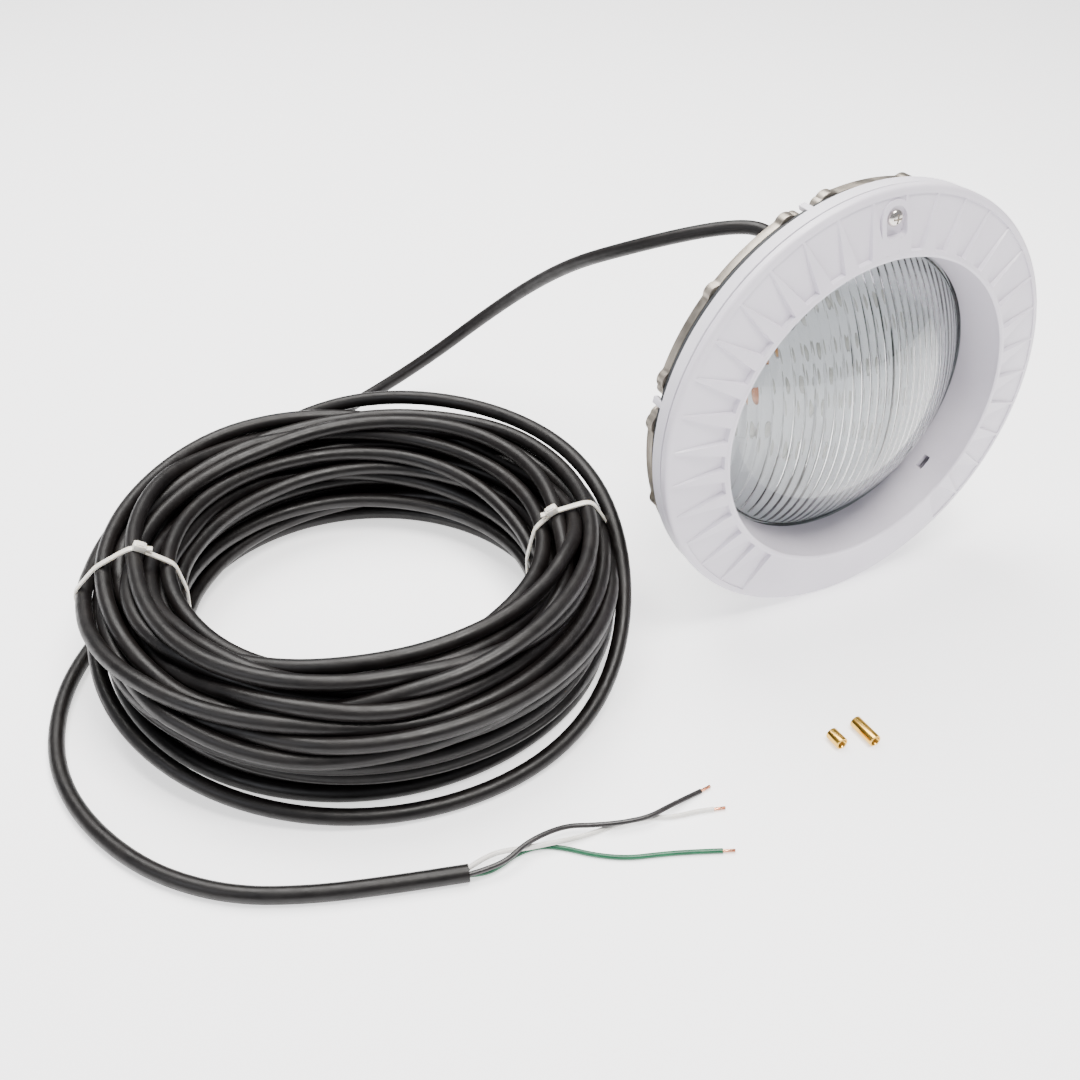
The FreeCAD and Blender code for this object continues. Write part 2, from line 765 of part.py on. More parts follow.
def coil_section(low, high, half_width, corner):
    """A section through the coil on one side: a box with round corners, as a face in the XZ plane."""
    inner = coil_mean_radius - half_width
    outer = coil_mean_radius + half_width
    k = corner * (1 - math.sqrt(0.5))
    corners = [
        ((outer - corner, low), (outer - k, low + k), (outer, low + corner)),
        ((outer, high - corner), (outer - k, high - k), (outer - corner, high)),
        ((inner + corner, high), (inner + k, high - k), (inner, high - corner)),
        ((inner, low + corner), (inner + k, low + k), (inner + corner, low)),
    ]
    edges = []
    for index, arc in enumerate(corners):
        first, middle, last = [V(x, 0, z) for x, z in arc]
        ahead = corners[(index + 1) % 4][0]
        edges.append(Part.Arc(first, middle, last).toShape())
        edges.append(Part.LineSegment(last, V(ahead[0], 0, ahead[1])).toShape())
    return Part.Face(Part.Wire(edges))


def tie_band(degrees):
    """The strap of one tie: round the coil's section, and pressed into it underneath."""
    outer = coil_section(floor_z, coil_top + tie_thickness, coil_half_width + tie_thickness,
                         coil_corner + tie_thickness)
    inner = coil_section(floor_z + tie_thickness, coil_top, coil_half_width, coil_corner)
    band = outer.extrude(V(0, tie_width, 0)).cut(inner.extrude(V(0, tie_width, 0)))
    return at_coil_angle(band, degrees)


def at_coil_angle(shape, degrees):
    """A shape made in the coil's XZ section, moved to an angle round the coil."""
    shape.translate(V(0, -tie_width / 2, 0))
    shape.rotate(V(0, 0, 0), V(0, 0, 1), degrees)
    shape.translate(V(coil_centre[0], coil_centre[1], 0))
    return shape


def cable_coil():
    """The outer shape of the whole coil, with the ties' grooves underneath."""
    section = coil_section(floor_z, coil_top, coil_half_width, coil_corner)
    coil = section.revolve(V(0, 0, 0), V(0, 0, 1), 360)
    coil.translate(V(coil_centre[0], coil_centre[1], 0))
    grooves = []
    for degrees in tie_angles_deg:
        groove = Part.makeBox(4 * coil_half_width, tie_width, 2 * tie_thickness,
                              V(coil_mean_radius - 2 * coil_half_width, 0, floor_z - tie_thickness))
        grooves.append(at_coil_angle(groove, degrees))
    return coil.cut(grooves)


def cable_tie(degrees):
    """A nylon tie round the coil's section, with its head on the inner shoulder."""
    corner = V(coil_mean_radius - coil_half_width + coil_corner, tie_width / 2, coil_top - coil_corner)
    head = box(corner + V(0, 0, coil_corner + (tie_head[2] + tie_thickness) / 2), tie_head)
    head.rotate(corner, V(0, 1, 0), -tie_head_tilt_deg)
    return tie_band(degrees).fuse(at_coil_angle(head, degrees)).removeSplitter()


def conductor_strands():
    """The bared copper ends of the three conductors."""
    ends = []
    for route in conductor_routes.values():
        tip = V(*route[-1])
        heading = tip - V(*route[-2])
        heading.z = 0
        ends.append(Part.makeCylinder(strand_radius, strand_length, tip, heading))
    return ends


def sleeve(x, y_front, length):
    """A loose brass sleeve that lies on the surface, along Y."""
    place = V(x, y_front - length / 2, floor_z + sleeve_outer)
    return tube(sleeve_outer, sleeve_bore, place, length)


# ---- the whole object ----------------------------------------------------------------------
def main():
    os.makedirs("parts", exist_ok=True)
    save("face_ring", face_ring())
    save("carrier_ring", carrier_ring())
    save("lens", lens())
    save("lens_gasket", ring_solid(lens_gasket_inner, housing_inner - side_gap, lens_flange_back, ledge_y))
    save("flange_gasket", flange_gasket())
    save("housing", housing())
    for k in range(clamp_count):
        save("clamp_segment_%d" % (k + 1), clamp_segment(clamp_first_deg + clamp_pitch_deg * k))
    save("clamp_screws", *clamp_screws())
    save("pilot_screw", pilot_screw())
    save("pilot_washer", pilot_washer())
    save("reflector", reflector())
    save("led_board", led_board())
    save("led_emitters", *led_emitters())
    save("led_optics", *led_optics())
    save("heat_sink", heat_sink())
    save("board_screws", *board_screws())
    save("driver_board", driver_board())
    save("driver_standoffs", *standoffs())
    save("driver_capacitors", *driver_capacitors())
    save("driver_transformer", driver_transformer())
    save("terminal_block", terminal_block())
    save("gland_body", gland_body())
    save("gland_seal", gland_seal())
    save("gland_nut", gland_nut())
    save("gland_locknut", gland_locknut())
    save("gland_oring", gland_oring())
    save("cable_lead", cord_tube("cable_lead", lead_route, cord_diameter))
    save("cable_coil", cable_coil())
    save("cable_tail", cord_tube("cable_tail", tail_route, cord_diameter))
    for name, route in conductor_routes.items():
        save(name, cord_tube(name, route, conductor_diameter))
    save("conductor_strands", *conductor_strands())
    for name, degrees in zip(tie_names, tie_angles_deg):
        save("cable_tie_" + name, cable_tie(degrees))
    for name, (x, y, length) in sleeves.items():
        save(name, sleeve(x, y, length))


main()
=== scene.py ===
# %% [markdown]
# # An underwater pool light
# The light is a white plastic head with a clear domed lens. It stands on its rim beside a large coil of
# its own cord, whose bared end and two loose brass sleeves lie in front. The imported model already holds
# every part at its real size, so this lesson only gives the parts their finer shapes and their finishes.

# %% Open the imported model
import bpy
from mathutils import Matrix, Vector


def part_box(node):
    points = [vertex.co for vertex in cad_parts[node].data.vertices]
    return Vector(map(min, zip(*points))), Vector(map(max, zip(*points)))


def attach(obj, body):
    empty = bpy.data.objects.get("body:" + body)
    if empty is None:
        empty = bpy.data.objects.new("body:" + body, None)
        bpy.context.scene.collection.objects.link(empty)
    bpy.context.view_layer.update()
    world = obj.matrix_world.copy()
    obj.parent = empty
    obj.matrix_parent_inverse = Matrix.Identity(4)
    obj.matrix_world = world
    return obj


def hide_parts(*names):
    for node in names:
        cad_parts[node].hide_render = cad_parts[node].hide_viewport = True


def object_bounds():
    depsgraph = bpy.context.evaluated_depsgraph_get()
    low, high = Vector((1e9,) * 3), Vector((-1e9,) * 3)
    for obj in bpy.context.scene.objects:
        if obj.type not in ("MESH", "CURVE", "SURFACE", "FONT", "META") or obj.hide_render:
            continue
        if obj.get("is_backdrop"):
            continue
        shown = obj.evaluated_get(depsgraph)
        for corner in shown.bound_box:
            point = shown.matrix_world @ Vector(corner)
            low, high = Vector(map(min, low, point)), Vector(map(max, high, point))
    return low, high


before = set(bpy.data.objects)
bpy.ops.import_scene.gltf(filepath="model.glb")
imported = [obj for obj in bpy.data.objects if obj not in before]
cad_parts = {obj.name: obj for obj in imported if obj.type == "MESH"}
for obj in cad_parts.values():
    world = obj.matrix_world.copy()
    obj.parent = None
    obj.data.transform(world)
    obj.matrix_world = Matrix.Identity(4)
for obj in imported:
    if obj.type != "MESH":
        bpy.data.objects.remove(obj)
cad_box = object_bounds()
print("packed parts:", len(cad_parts))

# %% Libraries
import math

import bmesh
import bpy
import numpy as np
from mathutils import Matrix, Vector

# %% [markdown]
# ## Units, colours and nodes
# Blender works in metres, and a light like this is drawn in millimetres, so shapes are worked out in
# millimetres and made metres when their mesh is built. Colours are picked as sRGB hex values, as in any
# paint program, but Blender's shaders add light up in linear numbers, so one function turns the one into
# the other. A second small function adds a node, sets its options and joins its sockets, for materials
# and for Geometry Nodes alike. A third puts a new object in the scene.

# %% Units, colours and nodes
MM = 0.001


def colour(code):
    """An sRGB hex colour as the linear numbers that shaders use."""
    parts = [int(code[k:k + 2], 16) / 255 for k in (1, 3, 5)]
    return tuple(p / 12.92 if p <= 0.04045 else ((p + 0.055) / 1.055) ** 2.4 for p in parts) + (1.0,)


def add(tree, kind, inputs=None, **settings):
    """Adds a node; settings are its options, inputs its sockets' values or the sockets they come from."""
    node = tree.nodes.new(kind)
    for key, value in settings.items():
        setattr(node, key, value)
    for key, value in (inputs or {}).items():
        if isinstance(value, bpy.types.NodeSocket):
            tree.links.new(value, node.inputs[key])
        else:
            node.inputs[key].default_value = value
    return node


def linked(name, data):
    """A new object in the scene."""
    made = bpy.data.objects.new(name, data)
    bpy.context.scene.collection.objects.link(made)
    return made


print("white as linear numbers:", [round(c, 2) for c in colour("#f2f1f3")])

# %% [markdown]
# ## Where things are
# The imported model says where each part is. The light's axis is the Y axis, its face looks towards -Y, and
# it stands on the lowest line of its rim. Angles round the light are clock angles: 0 at the top, and
# clockwise as seen from in front.

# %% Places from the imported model


def box_mm(node):
    """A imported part's lowest and highest corners in millimetres."""
    return [np.array(corner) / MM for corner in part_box(node)]


ring_low, ring_high = box_mm("face_ring")
rim_radius = ring_high[0]
crest_y = ring_low[1]
floor_z = ring_low[2]
coil_low, coil_high = box_mm("cable_coil")
coil_centre = (coil_low + coil_high)[:2] / 2
print("rim radius %.1f mm, floor %.1f mm" % (rim_radius, floor_z))
print("coil centre", coil_centre.round(1), "height %.1f mm" % (coil_high[2] - coil_low[2]))

# %% [markdown]
# ## Camera, floor and light
# The camera stands a little above the light's left side, with a mild telephoto lens. The floor is a wide
# pale sheet and is no part of the object. One large soft lamp overhead grazes the face, so that each fin
# has a lit upper edge and a shaded lower one. A second lights the floor behind, a third opens the shadows
# from the left, and the pale world does the rest.

# %% Camera, floor and light
camera_data = bpy.data.cameras.new("camera")
camera_data.lens = 43.33
camera_data.sensor_width = 36.0
camera_data.clip_start = 0.01
camera = linked("camera", camera_data)
camera.location = (-0.4738, -0.5186, 0.3931)
camera.rotation_euler = (math.radians(53.55), 0.0, math.radians(-27.57))
bpy.context.scene.camera = camera

floor_material = bpy.data.materials.new("pale_paper_floor")
floor_material.use_nodes = True
paper = floor_material.node_tree.nodes["Principled BSDF"]
paper.inputs["Base Color"].default_value = colour("#f6f6f8")
paper.inputs["Roughness"].default_value = 0.75
paper.inputs["Emission Color"].default_value = colour("#fffefd")
paper.inputs["Emission Strength"].default_value = 1.2
floor_mesh = bpy.data.meshes.new("floor")
FLOOR_HALF = 4.0
signs = ((-1, -1), (1, -1), (1, 1), (-1, 1))
floor_corners = [(x * FLOOR_HALF, y * FLOOR_HALF, floor_z * MM) for x, y in signs]
floor_mesh.from_pydata(floor_corners, [], [(0, 1, 2, 3)])
floor_mesh.materials.append(floor_material)
floor = linked("floor", floor_mesh)
floor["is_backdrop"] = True

world = bpy.data.worlds.new("studio")
world.use_nodes = True
world.node_tree.nodes["Background"].inputs["Color"].default_value = colour("#f4f5fa")
world.node_tree.nodes["Background"].inputs["Strength"].default_value = 0.42
bpy.context.scene.world = world


def softbox(name, place, target, size, power, tint):
    """A square area lamp that looks at a target."""
    data = bpy.data.lights.new(name, "AREA")
    data.size = size
    data.energy = power
    data.color = colour(tint)[:3]
    lamp = linked(name, data)
    lamp.location = place
    lamp.rotation_euler = (Vector(target) - Vector(place)).to_track_quat("-Z", "Y").to_euler()


softbox("overhead", (0.05, -0.45, 1.6), (-0.1, 0.0, 0.0), 0.7, 48.0, "#fffcf8")
softbox("behind", (-0.2, 0.9, 1.7), (-0.2, 0.4, -0.13), 1.4, 80.0, "#fffdfa")
softbox("left", (-1.6, -0.3, 0.9), (-0.15, 0.0, -0.05), 0.8, 8.0, "#f4f7ff")
print("camera at", tuple(round(c, 3) for c in camera.location))

# %% [markdown]
# ## Finishes
# Every finish starts from what the real one is. Moulded plastic is an almost even colour with a fine
# orange-peel grain and softer patches of gloss; pressed and turned metals have streaks along the way they
# were worked. All patterns read Object coordinates in metres, so a feature of n millimetres needs a scale
# of 1000 / n.

# %% A start for every finish


def start_finish(name, base, roughness, metallic=0.0, ior=None):
    """A new material with its plain values set: its tree, its shader and its coordinates."""
    material = bpy.data.materials.new(name)
    material.use_nodes = True
    tree = material.node_tree
    shader = tree.nodes["Principled BSDF"]
    shader.inputs["Base Color"].default_value = colour(base)
    shader.inputs["Roughness"].default_value = roughness
    shader.inputs["Metallic"].default_value = metallic
    if ior is not None:
        shader.inputs["IOR"].default_value = ior
    place = add(tree, "ShaderNodeTexCoord").outputs["Object"]
    return material, tree, shader, place


def cloud(tree, place, size_mm, detail=3.0):
    """Soft noise whose blotches are about this many millimetres wide, from 0 to 1."""
    noise = add(tree, "ShaderNodeTexNoise", {"Vector": place, "Scale": 1000 / size_mm, "Detail": detail})
    return noise.outputs["Fac"]


def spread(tree, value, low, high):
    """The middle of a noise stretched to run from low to high."""
    return add(tree, "ShaderNodeMapRange", {"Value": value, "From Min": 0.3, "From Max": 0.7,
                                            "To Min": low, "To Max": high}).outputs["Result"]


def tint(tree, value, first, second):
    """A colour that goes from the first to the second as a value goes from 0.3 to 0.7."""
    ramp = add(tree, "ShaderNodeValToRGB", {"Fac": value})
    ramp.color_ramp.elements[0].position = 0.3
    ramp.color_ramp.elements[0].color = colour(first)
    ramp.color_ramp.elements[1].position = 0.7
    ramp.color_ramp.elements[1].color = colour(second)
    return ramp.outputs["Color"]


def relief(tree, shader, height, depth_mm, strength=1.0):
    """Gives a shader a bump whose full height is this many millimetres."""
    bump = add(tree, "ShaderNodeBump", {"Height": height, "Distance": depth_mm * MM, "Strength": strength})
    tree.links.new(bump.outputs["Normal"], shader.inputs["Normal"])


def moulded(name, low, high, roughness, grain_mm, grain_depth_mm, patch_mm=30.0, ior=1.5):
    """Moulded plastic or rubber: two close shades in soft patches, uneven gloss and a fine grain."""
    material, tree, shader, place = start_finish(name, low, roughness, ior=ior)
    patches = cloud(tree, place, patch_mm)
    tree.links.new(tint(tree, patches, low, high), shader.inputs["Base Color"])
    gloss = cloud(tree, place, patch_mm / 4, 5.0)
    tree.links.new(spread(tree, gloss, roughness * 0.85, roughness * 1.2), shader.inputs["Roughness"])
    relief(tree, shader, cloud(tree, place, grain_mm, 2.0), grain_depth_mm)
    return material


def worked(name, low, high, roughness, streak, depth_mm, metallic=1.0):
    """Worked metal: streaks of these sizes in millimetres along X, Y and Z, in colour, gloss and height."""
    material, tree, shader, place = start_finish(name, low, roughness, metallic)
    stretched = add(tree, "ShaderNodeMapping", {"Vector": place, "Scale": [1000 / s for s in streak]})
    stretched = stretched.outputs["Vector"]
    lines = add(tree, "ShaderNodeTexNoise", {"Vector": stretched, "Scale": 1.0, "Detail": 4.0}).outputs["Fac"]
    tree.links.new(tint(tree, lines, low, high), shader.inputs["Base Color"])
    wear = cloud(tree, place, 6.0, 5.0)
    mixed = add(tree, "ShaderNodeMath", {0: lines, 1: wear}, operation="ADD").outputs["Value"]
    half = add(tree, "ShaderNodeMath", {0: mixed, 1: 0.5}, operation="MULTIPLY").outputs["Value"]
    tree.links.new(spread(tree, half, roughness * 0.7, roughness * 1.35), shader.inputs["Roughness"])
    relief(tree, shader, lines, depth_mm)
    return material


# %% [markdown]
# White ABS has a satin skin and takes a little light inside, which softens its shadows. The carrier
# behind it is the same plastic from another tool, a shade greyer. Grain is drawn at 0.9 mm: the real
# spark-eroded texture is about 0.2 mm, too fine to show at this distance.

# %% White plastics
white_abs = moulded("white_abs_satin", "#d1cbd6", "#dad5df", 0.36, 0.9, 0.012, 45.0, 1.53)
white_shader = white_abs.node_tree.nodes["Principled BSDF"]
white_shader.inputs["Subsurface Weight"].default_value = 0.03
white_shader.inputs["Subsurface Radius"].default_value = (0.0012, 0.001, 0.0009)
white_shader.inputs["Coat Weight"].default_value = 0.15
white_shader.inputs["Coat Roughness"].default_value = 0.25
carrier_abs = moulded("carrier_abs_matt", "#d4d0da", "#dddae2", 0.48, 0.8, 0.02, 30.0, 1.53)
reflector_white = moulded("reflector_white_gloss", "#e9ebee", "#f4f5f7", 0.3, 1.2, 0.01, 25.0, 1.52)
nylon = moulded("natural_nylon", "#ded9cd", "#ebe7dd", 0.34, 0.7, 0.02, 6.0, 1.53)
nylon_shader = nylon.node_tree.nodes["Principled BSDF"]
nylon_shader.inputs["Subsurface Weight"].default_value = 0.35
nylon_shader.inputs["Subsurface Radius"].default_value = (0.003, 0.0026, 0.002)
retainer_plastic = moulded("washer_acetal", "#d8d6d0", "#e4e2dd", 0.4, 0.6, 0.01, 5.0, 1.48)
print("white plastics:", white_abs.name, carrier_abs.name, reflector_white.name, nylon.name)

# %% [markdown]
# Dark plastics and rubbers. The cord's jacket is a soft black rubber, warm brown where light catches it,
# with slow waves in its gloss from the way it was extruded and wound.

# %% Dark plastics and rubbers
lens_silicone = moulded("lens_gasket_silicone", "#8b8e90", "#9a9d9f", 0.5, 0.5, 0.02, 12.0, 1.43)
seal_rubber = moulded("seal_silicone", "#2c2d2f", "#383a3c", 0.62, 0.5, 0.02, 12.0, 1.43)
dark_housing = moulded("housing_nylon_glass", "#1d1f22", "#2a2c2f", 0.5, 0.7, 0.05, 22.0, 1.53)
terminal_plastic = moulded("terminal_polyamide", "#1f5a3c", "#2a6d4a", 0.42, 0.5, 0.02, 8.0, 1.53)
core_black = moulded("insulation_black", "#171516", "#242122", 0.36, 0.6, 0.015, 9.0, 1.5)
core_white = moulded("insulation_white", "#d9d6d0", "#e9e7e2", 0.38, 0.6, 0.015, 9.0, 1.5)
core_green = moulded("insulation_green", "#0c4a30", "#14603f", 0.38, 0.6, 0.015, 9.0, 1.5)

jacket, jacket_tree, jacket_shader, jacket_place = start_finish("cord_jacket_rubber", "#15100f", 0.4, ior=1.5)
jacket_patches = cloud(jacket_tree, jacket_place, 18.0, 4.0)
jacket_shade = tint(jacket_tree, jacket_patches, "#080606", "#0f0b0a")
jacket_tree.links.new(jacket_shade, jacket_shader.inputs["Base Color"])
jacket_gloss = cloud(jacket_tree, jacket_place, 9.0, 5.0)
jacket_tree.links.new(spread(jacket_tree, jacket_gloss, 0.36, 0.5), jacket_shader.inputs["Roughness"])
jacket_waves = cloud(jacket_tree, jacket_place, 14.0, 3.0)
jacket_shader.inputs["Specular IOR Level"].default_value = 0.34
relief(jacket_tree, jacket_shader, jacket_waves, 0.9, 0.5)
print("jacket waves are 14 mm long")

# %% [markdown]
# Metals keep the shader's own IOR, because a metal's colour already says how it mirrors. Pressed
# stainless steel is a soft warm grey; turned screws and brass are brighter, with streaks round or along
# their axis.

# %% Metals
clamp_steel = worked("clamp_steel_pressed", "#948d83", "#aea69b", 0.42, (9.0, 9.0, 9.0), 0.03)
screw_steel = worked("screw_steel_turned", "#c9c3bb", "#e3ded8", 0.2, (0.5, 6.0, 0.5), 0.008)
brass = worked("brass_turned", "#c99a3c", "#e8bf62", 0.2, (0.6, 9.0, 0.6), 0.01)
gland_brass = worked("gland_brass_plated", "#b9b2a2", "#d2cbbb", 0.26, (4.0, 0.6, 4.0), 0.012)
copper = worked("copper_bare", "#c98a6c", "#e6b394", 0.26, (2.0, 2.0, 2.0), 0.01)
heat_aluminium = worked("aluminium_cast", "#a9abad", "#bfc1c3", 0.42, (1.5, 1.5, 1.5), 0.04)
board_green = moulded("board_solder_mask_white", "#dfe3e4", "#eceff0", 0.3, 1.0, 0.01, 12.0, 1.52)
driver_green = moulded("driver_board_green", "#0f4a35", "#17603f", 0.3, 1.0, 0.02, 7.0, 1.52)
capacitor_skin = moulded("capacitor_sleeve", "#1b2a44", "#26375a", 0.3, 2.0, 0.01, 4.0, 1.5)
transformer_tape = moulded("transformer_tape", "#b58a2a", "#caa03a", 0.38, 1.0, 0.02, 6.0, 1.5)



def warm_left(tree, place, plain, warm):
    """Plain everywhere but warm at the light's left, where its two amber sources show; place is in metres."""
    apart = add(tree, "ShaderNodeSeparateXYZ", {0: place})
    left = add(tree, "ShaderNodeMath", {0: apart.outputs["X"], 1: -0.040}, operation="LESS_THAN").outputs[0]
    upper = add(tree, "ShaderNodeMath", {0: apart.outputs["Z"], 1: -0.010}, operation="GREATER_THAN").outputs[0]
    both = add(tree, "ShaderNodeMath", {0: left, 1: upper}, operation="MULTIPLY").outputs[0]
    return tint(tree, both, plain, warm)


phosphor, phosphor_tree, phosphor_shader, phosphor_place = start_finish(
    "led_phosphor_with_painted_glow", "#c9c6ba", 0.35, ior=1.5)
phosphor_tint_and_glow = warm_left(phosphor_tree, phosphor_place, "#c9c7be", "#d98a2b")
for socket in ("Base Color", "Emission Color"):
    phosphor_tree.links.new(phosphor_tint_and_glow, phosphor_shader.inputs[socket])
# Painted glow: the emitters glow faintly in their own colours although the light is off, so that they don't go
# black in the shadow of the clear parts above them.
phosphor_shader.inputs["Emission Strength"].default_value = 0.5
relief(phosphor_tree, phosphor_shader, cloud(phosphor_tree, phosphor_place, 0.8), 0.02)
print("metals:", clamp_steel.name, screw_steel.name, brass.name, copper.name)

# %% [markdown]
# The lens is clear polycarbonate with an IOR of 1.585, and the lenslets over the light sources are clear
# acrylic. A faint waviness in the lens comes from the mould, and is drawn as a bump 20 mm long.

# %% Clear plastics


def clear(name, shade, roughness, ior, wave_mm, wave_depth_mm):
    """Clear plastic with a faint waviness."""
    material, tree, shader, place = start_finish(name, shade, roughness, ior=ior)
    shader.inputs["Transmission Weight"].default_value = 1.0
    relief(tree, shader, cloud(tree, place, wave_mm, 1.0), wave_depth_mm)
    return material


lens_clear = clear("lens_polycarbonate", "#f1f4f5", 0.035, 1.585, 20.0, 0.02)
optic_clear, optic_tree, optic_shader, optic_place = start_finish(
    "lenslet_acrylic", "#f6f4ee", 0.12, ior=1.49)
optic_shade = warm_left(optic_tree, optic_place, "#e9e9e6", "#eda84e")
optic_tree.links.new(optic_shade, optic_shader.inputs["Base Color"])
optic_shader.inputs["Transmission Weight"].default_value = 0.5
relief(optic_tree, optic_shader, cloud(optic_tree, optic_place, 4.0, 1.0), 0.02)
print("clear plastics:", lens_clear.name, optic_clear.name)

# %% [markdown]
# ## Building meshes
# Most parts of a light are turned: an outline of radius and depth swept round the light's axis. The
# outline's corners are rounded first, because a real edge is never sharp, and light catches its curve.
# Every finished mesh has its doubles merged and its faces turned outward, and stays at the origin with
# its place in its points.

# %% Mesh helpers


def finish_mesh(name, mesh, material, crease_deg=32.0, weld_mm=0.002):
    """A new object from a mesh in metres, welded, turned outward and shaded smooth between creases."""
    work = bmesh.new()
    work.from_mesh(mesh)
    bmesh.ops.remove_doubles(work, verts=work.verts, dist=weld_mm * MM)
    bmesh.ops.recalc_face_normals(work, faces=work.faces)
    work.to_mesh(mesh)
    work.free()
    mesh.materials.clear()
    mesh.materials.append(material)
    mesh.shade_smooth()
    mesh.set_sharp_from_angle(angle=math.radians(crease_deg))
    mesh.name = name
    return linked(name, mesh)


def piece(name, shapes, material, crease_deg=32.0):
    """An object from one or more (points, faces) shapes in millimetres."""
    points, faces = joined(shapes)
    mesh = bpy.data.meshes.new(name)
    mesh.from_pydata((np.asarray(points) * MM).tolist(), [], faces)
    return finish_mesh(name, mesh, material, crease_deg)


def plain_mesh(obj):
    """An object's finished shape as a plain mesh; the object is removed with its modifiers."""
    graph = bpy.context.evaluated_depsgraph_get()
    mesh = bpy.data.meshes.new_from_object(obj.evaluated_get(graph))
    bpy.data.objects.remove(obj)
    return mesh


def joined(shapes):
    """Several shapes as one list of points and one list of faces."""
    points, faces = [], []
    for shape_points, shape_faces in shapes:
        start = len(points)
        points.extend(tuple(p) for p in shape_points)
        faces.extend(tuple(start + k for k in face) for face in shape_faces)
    return points, faces


def softened(outline, radius, steps=4, closed=True):
    """An outline with its corners rounded, each limited by the sides it joins."""
    corners = [np.array(p, float) for p in outline]
    out = []
    for k, corner in enumerate(corners):
        if not closed and k in (0, len(corners) - 1):
            out.append(tuple(corner))
            continue
        back = corners[k - 1] - corner
        ahead = corners[(k + 1) % len(corners)] - corner
        reach = min(radius, 0.45 * np.linalg.norm(back), 0.45 * np.linalg.norm(ahead))
        start = corner + back / np.linalg.norm(back) * reach
        end = corner + ahead / np.linalg.norm(ahead) * reach
        for t in np.linspace(0, 1, steps + 1):
            out.append(tuple((1 - t) ** 2 * start + 2 * t * (1 - t) * corner + t ** 2 * end))
    return out


def bowed(first, middle, last, steps):
    """Points on a smooth arch that starts, passes and ends at three given points."""
    a, m, b = (np.array(p, float) for p in (first, middle, last))
    pull = 2 * m - (a + b) / 2
    return [tuple((1 - t) ** 2 * a + 2 * t * (1 - t) * pull + t ** 2 * b) for t in np.linspace(0, 1, steps + 1)]


def tube(rows, ring, closed=False):
    """Faces between rows of points, each row a closed ring; a closed tube's last row joins its first."""
    return [(i * ring + k, i * ring + (k + 1) % ring, (i + 1) % rows * ring + (k + 1) % ring,
             (i + 1) % rows * ring + k) for i in range(rows if closed else rows - 1) for k in range(ring)]


def lathe(outline, steps=128, closed=True, centre=(0.0, 0.0)):
    """Turns an outline of (radius, y) round an axis along Y; an open outline ends on that axis."""
    angles = np.linspace(0, 2 * math.pi, steps, endpoint=False)
    rows = [[(centre[0] + r * math.sin(a), y, centre[1] + r * math.cos(a)) for a in angles] for r, y in outline]
    return [p for row in rows for p in row], tube(len(rows), steps, closed)


def block(centre, size, round_mm=0.4):
    """A box with its edges cut back, as (points, faces)."""
    work = bmesh.new()
    bmesh.ops.create_cube(work, size=1.0, matrix=Matrix.Translation(centre) @ Matrix.Diagonal((*size, 1)))
    bmesh.ops.bevel(work, geom=work.edges[:], offset=round_mm, segments=3, profile=0.5, affect="EDGES")
    work.verts.index_update()
    shape = ([tuple(v.co) for v in work.verts], [tuple(v.index for v in f.verts) for f in work.faces])
    work.free()
    return shape


def placed(shape, matrix):
    """A shape moved by a matrix."""
    points, faces = shape
    return [tuple(matrix @ Vector(p)) for p in points], faces


def clocked(shape, degrees):
    """A shape turned round the light's axis to a clock angle."""
    return placed(shape, Matrix.Rotation(math.radians(degrees), 4, "Y"))


def cut(obj, shapes, operation="DIFFERENCE", crease_deg=32.0):
    """Joins closed shapes to an object's mesh or cuts them out of it, and keeps the result as its mesh."""
    tool = piece("tool", shapes, obj.data.materials[0])
    modifier = obj.modifiers.new("cut", "BOOLEAN")
    modifier.operation = operation
    modifier.solver = "EXACT"
    modifier.use_self = True
    modifier.object = tool
    name, material = obj.name, obj.data.materials[0]
    mesh = plain_mesh(obj)
    bpy.data.objects.remove(tool)
    return finish_mesh(name, mesh, material, crease_deg, 0.01)


print("mesh helpers ready")

# %% [markdown]
# ## One node tree that repeats a piece round the axis
# Screws, fins, lamps and clamp segments all repeat round the light's axis. One Geometry Nodes tree does
# it for all: it makes a point for each copy, puts the piece on it, and turns it about Y. Copies can come
# in groups, such as three screws to a clamp segment. The copies are made real and given their finish in
# the tree.

# %% The repeating tree


